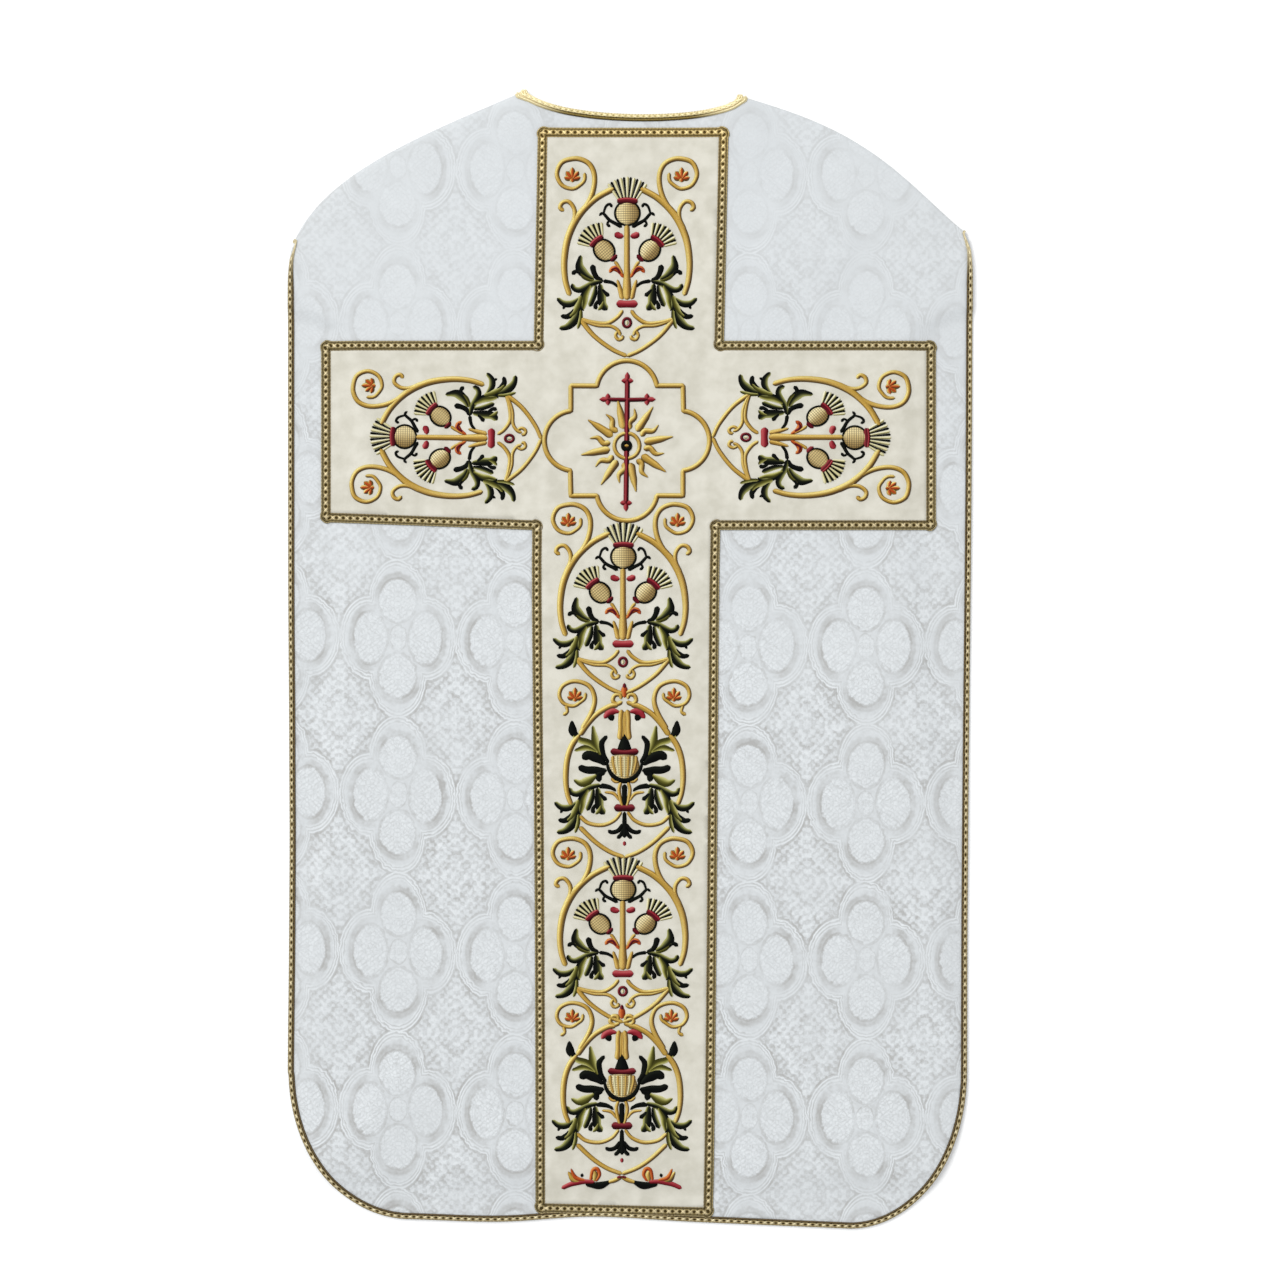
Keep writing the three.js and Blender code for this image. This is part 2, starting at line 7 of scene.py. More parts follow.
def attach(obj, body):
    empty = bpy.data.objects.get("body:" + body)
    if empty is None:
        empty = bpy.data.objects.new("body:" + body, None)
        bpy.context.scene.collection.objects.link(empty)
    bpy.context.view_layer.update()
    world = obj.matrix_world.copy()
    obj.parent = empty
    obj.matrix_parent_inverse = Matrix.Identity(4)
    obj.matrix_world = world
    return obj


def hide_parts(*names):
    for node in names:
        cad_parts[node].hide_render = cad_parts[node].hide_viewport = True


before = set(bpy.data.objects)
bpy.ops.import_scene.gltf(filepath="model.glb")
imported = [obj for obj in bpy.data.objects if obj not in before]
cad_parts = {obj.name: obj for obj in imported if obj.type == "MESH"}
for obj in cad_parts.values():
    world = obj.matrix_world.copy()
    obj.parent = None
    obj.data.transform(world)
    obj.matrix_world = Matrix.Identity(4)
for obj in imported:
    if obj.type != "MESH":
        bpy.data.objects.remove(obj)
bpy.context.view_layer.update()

# A fiddleback chasuble lying back up. Everything below is worked out in millimetres, from tables
# close to the ones of the solids, and turned into metres where a mesh is made.
mm = 0.001
print("frame loaded")


# small tools

def mix(a, b, t):
    return a + (b - a) * t


def mixTint(a, b, t):
    return tuple(mix(x, y, t) for x, y in zip(a, b))


def clamp(value, low=0.0, high=1.0):
    return max(low, min(high, value))


def smooth(start, end, value):
    t = clamp((value - start) / (end - start))
    return t * t * (3 - 2 * t)


def bezier(points, t):
    level = [Vector(p) for p in points]
    while len(level) > 1:
        level = [a.lerp(b, t) for a, b in zip(level, level[1:])]
    return level[0]


def bezierHeading(points, t):
    steps = [Vector(b) - Vector(a) for a, b in zip(points, points[1:])]
    return bezier(steps, t).normalized()


def throughPoints(points, steps):
    # a smooth curve through all the points, steps to each span
    pts = [Vector(p) for p in points]
    pts = [2 * pts[0] - pts[1]] + pts + [2 * pts[-1] - pts[-2]]
    curve = []
    for a, b, c, d in zip(pts, pts[1:], pts[2:], pts[3:]):
        for step in range(steps):
            t = step / steps
            curve.append(0.5 * (2 * b + (c - a) * t + (2 * a - 5 * b + 4 * c - d) * t * t
                                + (3 * b - a - 3 * c + d) * t ** 3))
    return curve + [pts[-2]]


def runLengths(points):
    # how far along the line each point lies
    lengths = [0.0]
    for a, b in zip(points, points[1:]):
        lengths.append(lengths[-1] + (b - a).length)
    return lengths


def neighbours(points, k, closed):
    # the points before and after one of them
    last = len(points) - 1
    if closed:
        return points[k - 1], points[0 if k == last else k + 1]
    return points[max(k - 1, 0)], points[min(k + 1, last)]


def fromTable(rows, value, column):
    # smooth value of one column of a table at a place given by its first column
    last = len(rows) - 1
    row = 0
    while row < last - 1 and value > rows[row + 1][0]:
        row += 1
    low, high = rows[row], rows[row + 1]
    span = high[0] - low[0]
    t = clamp((value - low[0]) / span)
    before = rows[max(row - 1, 0)]
    after = rows[min(row + 2, last)]
    slopeIn = (high[column] - before[column]) / (high[0] - before[0]) * span
    slopeOut = (after[column] - low[column]) / (after[0] - low[0]) * span
    a, b = low[column], high[column]
    return (a * (2 * t ** 3 - 3 * t * t + 1) + slopeIn * (t ** 3 - 2 * t * t + t)
            + b * (3 * t * t - 2 * t ** 3) + slopeOut * (t ** 3 - t * t))


# the cloth, as it was cut and laid

cloth = {
    "wall": 2.0,
    "foldRadius": 1.8,
    "tipPress": 0.58,  # how flat the fold is pressed at the shoulder's tip
    "tipSpan": (296, 326),  # and over which x it gets there
    "braidLift": 1.8,
    "edgeBraidSpan": (297, 334),  # over which x the cloth rises onto its turned braids
    "neckBraidSpan": (147, 111),
    "topLayer": 4.2,
    "layerFall": (30, 62),  # past the front's edge, where the back sinks to the ground
    "turnedSupport": (325, 380, 110),  # the turned shoulders carry it further out above this y
    "shoulderFall": 100,
    "creaseFade": 30,
    "orphreyLift": 1.3,
    "cell": 6.5,  # size of the mesh's faces
    "frontCell": 9,
    "orphreyCell": 4.6,
    "edgeStep": 4.0,
    "seamGap": 0.3,
}
back = {
    # y, left edge, right edge, outer edges of the cross's pillar
    "sections": [(-570, -342.6, 336, -95, 82.5), (-413, -342.8, 336.5, -95, 84.5),
                 (-200, -341, 337.5, -96, 86.5), (100, -342.4, 340.5, -98.5, 89),
                 (318, -342.6, 342, -96.5, 93.5), (534, -342, 342, -92.5, 98)],
    "hem": [(-220, -560.5), (-130, -563), (-40, -558), (60, -563), (220, -570)],
    "cornerTop": -413,
    "corners": {-1: (-220, 122, 147.5), 1: (220, 116.5, 157)},  # x, across, down
    "shoulders": {-1: [(-337, 416), (-309.5, 480.5), (-227, 518), (-103.5, 568.8)],
                  1: [(335, 427), (316, 440), (270, 486), (244, 522), (172, 546), (106.5, 563.5)]},
    "tipRound": 45,  # how far below its tip the side edge starts to lean in
    "neck": [(-103.5, 566), (-68.5, 539), (77.5, 539), (106.5, 559)],
    "neckRest": 3.5,
    "neckSpan": (55, 105),  # over which x the neck's crest passes into the shoulder's
    "shoulderSpan": (100, 112),
    "creaseHem": -560,
    # inward and up from the shoulder's tip: the edge that turns under
    "turned": [(0, 0), (12, 9), (34, 12), (58, 3), (74, -21)],
    "seamAtNeck": {-1: (-97, 489), 1: (100, 489)},
    # x, y, turn, length, width, height of each soft ridge or trough
    "swells": [(207, -31, 28, 105, 26, 1.5), (262, -86, 24, 60, 24, 1.2), (186, 410, 65, 70, 24, 1.4),
               (140, 392, 68, 60, 22, 1.1), (-205, 446, 118, 45, 24, 1.2), (-318, 62, 84, 70, 26, 2.4),
               (-318, -120, 95, 46, 24, 1.9), (-322, -236, 90, 44, 24, 2.2), (-262, -470, 52, 70, 34, 2.6),
               (-120, -500, 8, 60, 28, 1.2), (262, -486, 128, 80, 36, 1.9), (318, -200, 88, 90, 24, 1.6),
               (316, 150, 92, 90, 26, 1.8), (0, 498, 0, 62, 50, -1)],
    # finer ones that only show in the light
    "creases": [(168, -20, 27, 58, 7, 0.5), (236, 8, 26, 46, 6, 0.45), (276, -4, 30, 30, 6, 0.6),
                (200, 380, 66, 62, 9, 0.55), (222, 430, 60, 40, 8, 0.45), (150, 440, 72, 46, 9, 0.4),
                (-186, 420, 116, 52, 9, 0.45), (-262, 372, 124, 44, 8, 0.4), (-300, 350, 100, 36, 8, 0.35),
                (-296, 30, 84, 66, 8, 0.4), (-286, -150, 78, 60, 9, 0.4), (300, -120, 96, 54, 8, 0.4),
                (-232, -420, 60, 58, 10, 0.45), (232, -440, 118, 62, 10, 0.45),
                (-160, -300, 84, 90, 14, 0.35), (170, -320, 97, 96, 14, 0.35),
                (-150, 40, 92, 80, 13, 0.3), (150, 120, 88, 80, 13, 0.3)],
}
front = {
    "sections": [(-480, 284), (-400, 284), (-200, 267), (0, 247), (180, 236), (300, 240), (393, 262)],
    "hem": -480,
    "corner": (204, 80),  # where the hem's corner starts, and its radius
    "neckDepth": 70,
    "sideSteps": 150,
    "cornerSteps": 24,
    "hemSteps": 80,
    "seamSteps": 36,
    "neckSteps": 48,
}


def swell(x, y, rows):
    total = 0
    for cx, cy, turn, length, width, height in rows:
        dx, dy = x - cx, y - cy
        if abs(dx) + abs(dy) > 3 * (length + width):
            continue
        c, s = math.cos(math.radians(turn)), math.sin(math.radians(turn))
        along, across = (dx * c + dy * s) / length, (dy * c - dx * s) / width
        total += height * math.exp(-along * along - across * across)
    return total


def foldSize(x):
    # the fold's outer radius: it is pressed flatter towards the shoulder's tip
    pressed = mix(1, cloth["tipPress"], smooth(*cloth["tipSpan"], abs(x)))
    return (cloth["foldRadius"] + cloth["wall"]) * pressed


def shoulderPoint(side, t):
    # the fold's inner line and the direction that points out of the garment
    along = bezierHeading(back["shoulders"][side], t)
    out = Vector((along.y * side, -along.x * side))
    spot = bezier(back["shoulders"][side], t)
    return spot - out * foldSize(spot.x), out


def neckPoint(t):
    return bezier(back["neck"], t)


def buildTopEdge():
    # the upper border from the left tip over the neck to the right tip, for looking up its height
    left = [shoulderPoint(-1, k / 60)[0] for k in range(61)]
    neck = [neckPoint(k / 40) for k in range(2, 39)]
    right = [shoulderPoint(1, 1 - k / 60)[0] for k in range(61)]
    return left + neck + right


topEdge = buildTopEdge()


def topEdgeAt(x):
    low, high = 0, len(topEdge) - 1
    if x <= topEdge[0].x:
        return topEdge[0].y
    if x >= topEdge[-1].x:
        return topEdge[-1].y
    while high - low > 1:
        middle = (low + high) // 2
        if topEdge[middle].x < x:
            low = middle
        else:
            high = middle
    a, b = topEdge[low], topEdge[high]
    return mix(a.y, b.y, (x - a.x) / (b.x - a.x) if b.x > a.x else 0)


def braidRise(x):
    # the turned edge and the turned neck lie on their braids
    return cloth["braidLift"] * max(smooth(*cloth["edgeBraidSpan"], abs(x)),
                                    smooth(*cloth["neckBraidSpan"], abs(x)))


def underside(x, y):
    low, high, wider = cloth["turnedSupport"]
    pastSide = abs(x) - fromTable(front["sections"], y, 1) - wider * smooth(low, high, y)
    past = max(pastSide, front["hem"] - y)
    ground = cloth["topLayer"] * (1 - smooth(*cloth["layerFall"], past)) + swell(x, y, back["swells"])
    foldTop = 2 * foldSize(x) - cloth["wall"]
    shoulder = foldTop + braidRise(x)
    crest = mix(back["neckRest"], foldTop + cloth["braidLift"], smooth(*back["neckSpan"], abs(x)))
    crest = mix(crest, shoulder, smooth(*back["shoulderSpan"], abs(x)))
    near = 1 - smooth(0, cloth["shoulderFall"], topEdgeAt(x) - y)
    return mix(ground, max(crest, ground), near)


def edgeFade(x, y):
    # creases die out at the cloth's edges
    inSide = min(x - fromTable(back["sections"], y, 1), fromTable(back["sections"], y, 2) - x)
    fade = cloth["creaseFade"]
    return smooth(0, fade, inSide) * smooth(0, fade, y - back["creaseHem"]) * smooth(0, 40, topEdgeAt(x) - y)


def backTop(x, y):
    return underside(x, y) + cloth["wall"] + swell(x, y, back["creases"]) * edgeFade(x, y)


def orphreyTop(x, y):
    return backTop(x, y) + cloth["orphreyLift"]


# making meshes

def newRelief(verts=(), faces=()):
    return {"verts": list(verts), "faces": list(faces), "uvs": [], "tints": [], "slots": []}


def addRings(relief, rings, slot, closed=False):
    # rings of (point, uv, tint); joins them into a tube, with a cap at each open end
    start = len(relief["verts"])
    size = len(rings[0])
    for ring in rings:
        for point, uv, tint in ring:
            relief["verts"].append(point)
            relief["uvs"].append(uv)
            relief["tints"].append(tint)
    count = len(rings)
    for r in range(count if closed else count - 1):
        a, b = start + r * size, start + ((r + 1) % count) * size
        for k in range(size):
            n = (k + 1) % size
            relief["faces"].append((a + k, a + n, b + n, b + k))
            relief["slots"].append(slot)
    if not closed:
        end = start + (count - 1) * size
        relief["faces"].append(tuple(start + k for k in reversed(range(size))))
        relief["faces"].append(tuple(end + k for k in range(size)))
        relief["slots"] += [slot, slot]


def finishMesh(name, relief, materials):
    mesh = bpy.data.meshes.new(name)
    mesh.from_pydata([Vector(v) * mm for v in relief["verts"]], [], relief["faces"])
    if relief["uvs"]:
        layer = mesh.uv_layers.new(name="thread")
        tint = mesh.color_attributes.new("tint", "FLOAT_COLOR", "POINT")
        for loop in mesh.loops:
            layer.data[loop.index].uv = relief["uvs"][loop.vertex_index]
        for index, value in enumerate(relief["tints"]):
            tint.data[index].color = (*value, 1)
    for material in materials:
        mesh.materials.append(material)
    if relief["slots"]:
        mesh.polygons.foreach_set("material_index", relief["slots"])
    mesh.polygons.foreach_set("use_smooth", [True] * len(mesh.polygons))
    piece = bpy.data.objects.new(name, mesh)
    bpy.context.scene.collection.objects.link(piece)
    return piece


def onlySelect(piece):
    bpy.ops.object.select_all(action="DESELECT")
    piece.select_set(True)
    bpy.context.view_layer.objects.active = piece


def recalcOutside(piece):
    onlySelect(piece)
    bpy.ops.object.mode_set(mode="EDIT")
    bpy.ops.mesh.select_all(action="SELECT")
    bpy.ops.mesh.normals_make_consistent(inside=False)
    bpy.ops.object.mode_set(mode="OBJECT")


def giveWall(piece, thickness):
    # the mesh is the outer face, and the wall grows inwards
    wall = piece.modifiers.new("wall", "SOLIDIFY")
    wall.thickness = thickness * mm
    wall.offset = -1
    onlySelect(piece)
    bpy.ops.object.modifier_apply(modifier=wall.name)


def fillOutline(outline, spacing):
    # a net of near-square cells inside an outline: returns points, faces and the outline's order
    tree = kdtree.KDTree(len(outline))
    for index, p in enumerate(outline):
        tree.insert((p.x, p.y, 0), index)
    tree.balance()
    inner = []
    lowY, highY = min(p.y for p in outline), max(p.y for p in outline)
    lowX = min(p.x for p in outline)
    rows = int((highY - lowY) / spacing)
    clear = 0.55 * spacing  # inner points keep this far from the outline
    pairs = list(zip(outline, outline[1:] + outline[:1]))
    for row in range(1, rows + 1):
        y = lowY + row * spacing
        hits = sorted(a.x + (y - a.y) / (b.y - a.y) * (b.x - a.x)
                      for a, b in pairs if (a.y <= y) != (b.y <= y))
        for left, right in zip(hits[::2], hits[1::2]):
            column = math.ceil((left - lowX) / spacing)
            while lowX + column * spacing < right:
                x = lowX + column * spacing
                if tree.find((x, y, 0))[2] > clear:
                    inner.append(Vector((x, y)))
                column += 1
    count = len(outline)
    edges = [(k, (k + 1) % count) for k in range(count)]
    points, _, faces, origins, _, _ = delaunay_2d_cdt(outline + inner, edges, [], 1, 1e-4)
    place = {}
    for index, sources in enumerate(origins):
        for source in sources:
            place[source] = index
    return points, faces, [place[k] for k in range(count)]


# outlines

def cornerArc(side, steps):
    x, across, down = back["corners"][side]
    angles = [math.radians(90 * k / steps) for k in range(1, steps)]
    return [Vector((x + side * across * math.cos(a), back["cornerTop"] - down * math.sin(a)))
            for a in angles]


def sideLine(side, top):
    count = int((top - back["cornerTop"]) / cloth["edgeStep"])
    heights = [mix(top, back["cornerTop"], k / count) for k in range(count + 1)]
    column = 1 if side < 0 else 2
    tip = shoulderPoint(side, 0)[0].x
    edge = []
    for y in heights:
        rise = clamp(1 - (top - y) / back["tipRound"])
        x = fromTable(back["sections"], y, column)
        edge.append(Vector((mix(x, tip, 1 - math.sqrt(1 - rise * rise)), y)))
    return edge


def hemRun():
    left, right = back["corners"][-1][0], back["corners"][1][0]
    count = int((right - left) / cloth["edgeStep"])
    xs = [mix(left, right, k / count) for k in range(count + 1)]
    return [Vector((x, fromTable(back["hem"], x, 1))) for x in xs]


def backEdge():
    # from the left shoulder's tip round the hem to the right shoulder's tip
    left = sideLine(-1, shoulderPoint(-1, 0)[0].y)
    right = sideLine(1, shoulderPoint(1, 0)[0].y)
    corners = {side: cornerArc(side, 48) for side in (-1, 1)}
    return left + corners[-1] + hemRun() + corners[1][::-1] + right[::-1]


shoulderSteps = 64
turnedSteps = 10
foldSteps = 8


def turnedLanding(side):
    tip = shoulderPoint(side, 0)[0]
    neckEnd = shoulderPoint(side, 1)[0]
    edge = [tip + Vector((-side * inward, up)) for inward, up in back["turned"]]
    edgeCurve = throughPoints(edge, 12)
    start, end = edge[-1], Vector(back["seamAtNeck"][side])
    return tip, neckEnd, edgeCurve, start, end


def turnedPoint(side, t, share):
    # a point of the turned shoulder: t along the fold, share from the fold to the seam
    tip, neckEnd, edgeCurve, start, end = turnedLanding(side)
    heel = shoulderPoint(side, t)[0]
    across = (heel.x - tip.x) / (neckEnd.x - tip.x)
    landing = start.lerp(end, across)
    spot = edgeCurve[round(share * (len(edgeCurve) - 1))]
    bend = spot - tip.lerp(start, share)
    return heel.lerp(landing, share) + bend * clamp(1 - across / 0.2) ** 2


def rollPoint(side, t, angle, height=0.0):
    # a point on the fold's outer face, angle from 0 on top to 180 underneath
    heel, out = shoulderPoint(side, t)
    turn = math.radians(angle)
    radius = foldSize((heel + out).x)
    spot = heel + out * ((radius + height) * math.sin(turn))
    level = radius + braidRise(heel.x) + (radius + height) * math.cos(turn)
    return Vector((spot.x, spot.y, level))


def makeBackShell(material):
    edge = backEdge()
    rightShoulder = [shoulderPoint(1, k / shoulderSteps)[0] for k in range(1, shoulderSteps + 1)]
    leftShoulder = [shoulderPoint(-1, 1 - k / shoulderSteps)[0] for k in range(shoulderSteps)]
    neck = [neckPoint(1 - k / 56) for k in range(2, 55)]
    outline = edge + rightShoulder + neck + leftShoulder
    points, faces, order = fillOutline(outline, cloth["cell"])
    verts = [Vector((p.x, p.y, backTop(p.x, p.y))) for p in points]
    relief = newRelief(verts, faces)
    lastEdge = len(edge) - 1
    lastRight = lastEdge + shoulderSteps
    firstLeft = len(outline) - shoulderSteps
    borders = {1: list(range(lastEdge, lastRight + 1)),
               -1: [0] + list(range(len(outline) - 1, firstLeft - 1, -1))}
    for side, ids in borders.items():
        previous = [order[k] for k in ids]
        for k, index in enumerate(previous):
            relief["verts"][index] = rollPoint(side, k / shoulderSteps, 0)
        for step in range(1, foldSteps + turnedSteps + 1):
            row = []
            for k in range(shoulderSteps + 1):
                t = k / shoulderSteps
                if step <= foldSteps:
                    spot = rollPoint(side, t, 180 * step / foldSteps)
                else:
                    share = (step - foldSteps) / turnedSteps
                    flat = turnedPoint(side, t, share)
                    spot = Vector((flat.x, flat.y, braidRise(shoulderPoint(side, t)[0].x)))
                row.append(len(relief["verts"]))
                relief["verts"].append(spot)
            for k in range(shoulderSteps):
                face = (previous[k], previous[k + 1], row[k + 1], row[k])
                relief["faces"].append(face if side < 0 else face[::-1])
            previous = row
    shell = finishMesh("backCloth", relief, [material])
    giveWall(shell, cloth["wall"])
    return shell


def seamEnds(side):
    # where the front meets the turned shoulder: at its outer end and at the neck
    _, _, _, start, end = turnedLanding(side)
    along = (end - start).normalized()
    away = Vector((-along.y * -side, along.x * -side)) * -cloth["seamGap"]
    return start + away, end + away


def frontOutline():
    # rim is what the edge braid follows, neck what the neck braid follows
    corner, radius = front["corner"]
    hem, steps = front["hem"], front["cornerSteps"]
    (leftTip, leftNeck), (rightTip, rightNeck) = seamEnds(-1), seamEnds(1)
    heights = [mix(leftTip.y, hem + radius, k / front["sideSteps"]) for k in range(front["sideSteps"] + 1)]

    def corners(side, angles):
        return [Vector((side * corner + side * radius * math.cos(a), hem + radius - radius * math.sin(a)))
                for a in map(math.radians, angles)]

    rim = [Vector((-fromTable(front["sections"], y, 1), y)) for y in heights[1:]]
    rim += corners(-1, [90 * k / steps for k in range(1, steps)])
    rim += [Vector((mix(-corner, corner, k / front["hemSteps"]), hem)) for k in range(front["hemSteps"] + 1)]
    rim += corners(1, [90 - 90 * k / steps for k in range(1, steps)])
    rim += [Vector((fromTable(front["sections"], y, 1), y)) for y in heights[::-1][:-1]]
    neck = []
    for k in range(front["neckSteps"] + 1):
        t = k / front["neckSteps"]
        turn = math.pi * k / front["neckSteps"]
        x = mix(rightNeck.x, leftNeck.x, (1 - math.cos(turn)) / 2)
        neck.append(Vector((x, mix(rightNeck.y, leftNeck.y, t) - front["neckDepth"] * math.sin(turn))))
    count = front["seamSteps"]
    rightSeam = [rightTip.lerp(rightNeck, k / count) for k in range(count)]
    leftSeam = [leftNeck.lerp(leftTip, k / count) for k in range(1, count + 1)]
    return rim, neck, rim + rightSeam + neck + leftSeam


frontRim, frontNeck, frontLine = frontOutline()


def makeFrontShell(material):
    points, faces, _ = fillOutline(frontLine, cloth["frontCell"])
    braided = frontRim + frontNeck
    tree = kdtree.KDTree(len(braided))
    for index, p in enumerate(braided):
        tree.insert((p.x, p.y, 0), index)
    tree.balance()
    verts = []
    for p in points:
        away = tree.find((p.x, p.y, 0))[2]
        verts.append(Vector((p.x, p.y, cloth["braidLift"] * (1 - smooth(10, 40, away)))))
    shell = finishMesh("frontCloth", newRelief(verts, [face[::-1] for face in faces]), [material])
    giveWall(shell, cloth["wall"])
    return shell


# braids: a dark tape, which shows as painted shade between the cords, with two cords that cross over it, and
# ropes beside them

def offsetLine(points, distance):
    # the same line, moved to the right of its direction
    moved = []
    for k, p in enumerate(points):
        along = (points[min(k + 1, len(points) - 1)] - points[max(k - 1, 0)]).normalized()
        moved.append(p + Vector((along.y, -along.x)) * distance)
    return moved


def topNormal(x, y):
    dx = backTop(x + 1.5, y) - backTop(x - 1.5, y)
    dy = backTop(x, y + 1.5) - backTop(x, y - 1.5)
    return Vector((-dx / 3, -dy / 3, 1)).normalized()


def onTop(outer, inner):
    middle = (outer + inner) / 2
    return (Vector((outer.x, outer.y, backTop(outer.x, outer.y))),
            Vector((inner.x, inner.y, backTop(inner.x, inner.y))), topNormal(middle.x, middle.y))


pitchSteps = 6  # stations to each crossing of the cords


def resample(stations, step, closed):
    # evenly spaced stations along the middle of the braid
    ring = stations + stations[:1] if closed else stations
    lengths = runLengths([(s[0] + s[1]) / 2 for s in ring])
    count = max(1, round(lengths[-1] / (pitchSteps * step))) * pitchSteps
    result = []
    k = 0
    for index in range(count if closed else count + 1):
        s = lengths[-1] * index / count
        while k < len(lengths) - 2 and lengths[k + 1] < s:
            k += 1
        span = lengths[k + 1] - lengths[k]
        t = (s - lengths[k]) / span if span > 0 else 0
        a, b = ring[k], ring[k + 1]
        result.append((a[0].lerp(b[0], t), a[1].lerp(b[1], t), a[2].lerp(b[2], t).normalized(), s))
    return result


# painted light on the braids: brighter and warmer towards the top, near the window light
paintedWindowLight = {"span": (430, 540), "gain": (0.4, 0.32, 0.08), "endHighlight": 0.75}


def braidTint(style, tint, spot):
    # painted light: brighter towards the top, near the window, and a painted highlight where the braid turns
    # under at its ends
    paintedLightShare = smooth(*paintedWindowLight["span"], spot.y)
    reach = abs(spot.x) if style["paleAlong"] == "x" else spot.y
    tint = mixTint(tint, style["pale"], paintedWindowLight["endHighlight"] * smooth(*style["highlightEnds"], reach))
    return tuple(value * (1 + gain * paintedLightShare) for value, gain in zip(tint, paintedWindowLight["gain"]))


def addCord(relief, stations, style, share, lift, radius, sides, tint, closed):
    # a cord along the braid; share and lift say where it runs in the braid's width and height
    centres = [outer.lerp(inner, share(s)) + normal * lift(s) for outer, inner, normal, s, thin in stations]
    rings = []
    for k, (outer, _, normal, s, thin) in enumerate(stations):
        behind, ahead = neighbours(centres, k, closed)
        across = normal.cross(ahead - behind).normalized() * thin
        ring = []
        for j in range(sides):
            turn = 2 * math.pi * (j / sides - 0.25)
            spot = centres[k] + (across * math.cos(turn) + normal * math.sin(turn)) * radius(s)
            ring.append((spot, (s, j / sides), braidTint(style, tint(s), outer)))
        rings.append(ring)
    addRings(relief, rings, 1, closed)


def galloon(name, stations, style, materials, closed=False):
    relief = newRelief()
    rows = []
    for outer, inner, normal, s in resample(stations, style["pitch"] / pitchSteps, closed):
        # it thins where it turns under, and is pressed flatter underneath by the weight on it
        thin = clamp((outer - inner).length / style["width"], 0.4, 1)
        raised = min(mix(1, 0.72, clamp(-normal.z)), mix(0.4, 1, thin))
        rows.append((outer, inner, normal * raised, s, thin))
    dark, pale = style["dark"], style["pale"]
    # the dark tape stands for the shade in the gaps between the cords: painted shade
    tape = []
    low, high = 0.3, 0.75  # the tape's faces above the cloth
    for outer, inner, normal, s, _ in rows:
        a, b = outer.lerp(inner, 0.02), outer.lerp(inner, 0.98)
        tint = braidTint(style, dark, outer)
        tape.append([(a + normal * low, (s, 0), tint), (a + normal * high, (s, 0), tint),
                     (b + normal * high, (s, 1), tint), (b + normal * low, (s, 1), tint)])
    addRings(relief, tape, 0, closed)
    wave = math.pi / style["pitch"]

    def bead(s):
        # 1 where the cords cross, 0 halfway between two crossings
        return abs(math.cos(wave * s)) ** style["bead"]

    def paintedBeadHighlight(s):
        # painted highlight where the cords cross; some beads are duller than others
        return bead(s) * (0.76 + 0.24 * math.sin(s * 0.83) * math.sin(s * 0.37 + 1))

    sides = 5
    for sign in (1, -1):
        addCord(relief, rows, style, lambda s: style["middle"] + sign * style["swing"] * math.sin(wave * s),
                lambda s: 0.9 + sign * 0.25 * math.cos(wave * s),
                lambda s: style["cord"] * (0.78 + 0.34 * bead(s)), sides,
                lambda s: mixTint(style["middleTint"], pale, paintedBeadHighlight(s)), closed)
    for share, radius, tint in style["ropes"]:
        addCord(relief, rows, style, lambda s: share, lambda s: 0.6 + radius * 0.3,
                lambda s: radius * (0.9 + 0.12 * math.sin(4 * wave * s)), sides,
                lambda s: mixTint(tint, dark, 0.3 + 0.3 * math.sin(4 * wave * s + share)), closed)
    piece = finishMesh(name, relief, materials)
    recalcOutside(piece)
    return piece


# where the pillar's edges follow the uneven line that the hand left
waver = {"within": 110, "top": 125, "fullBelow": 95, "foot": (-552, -520)}


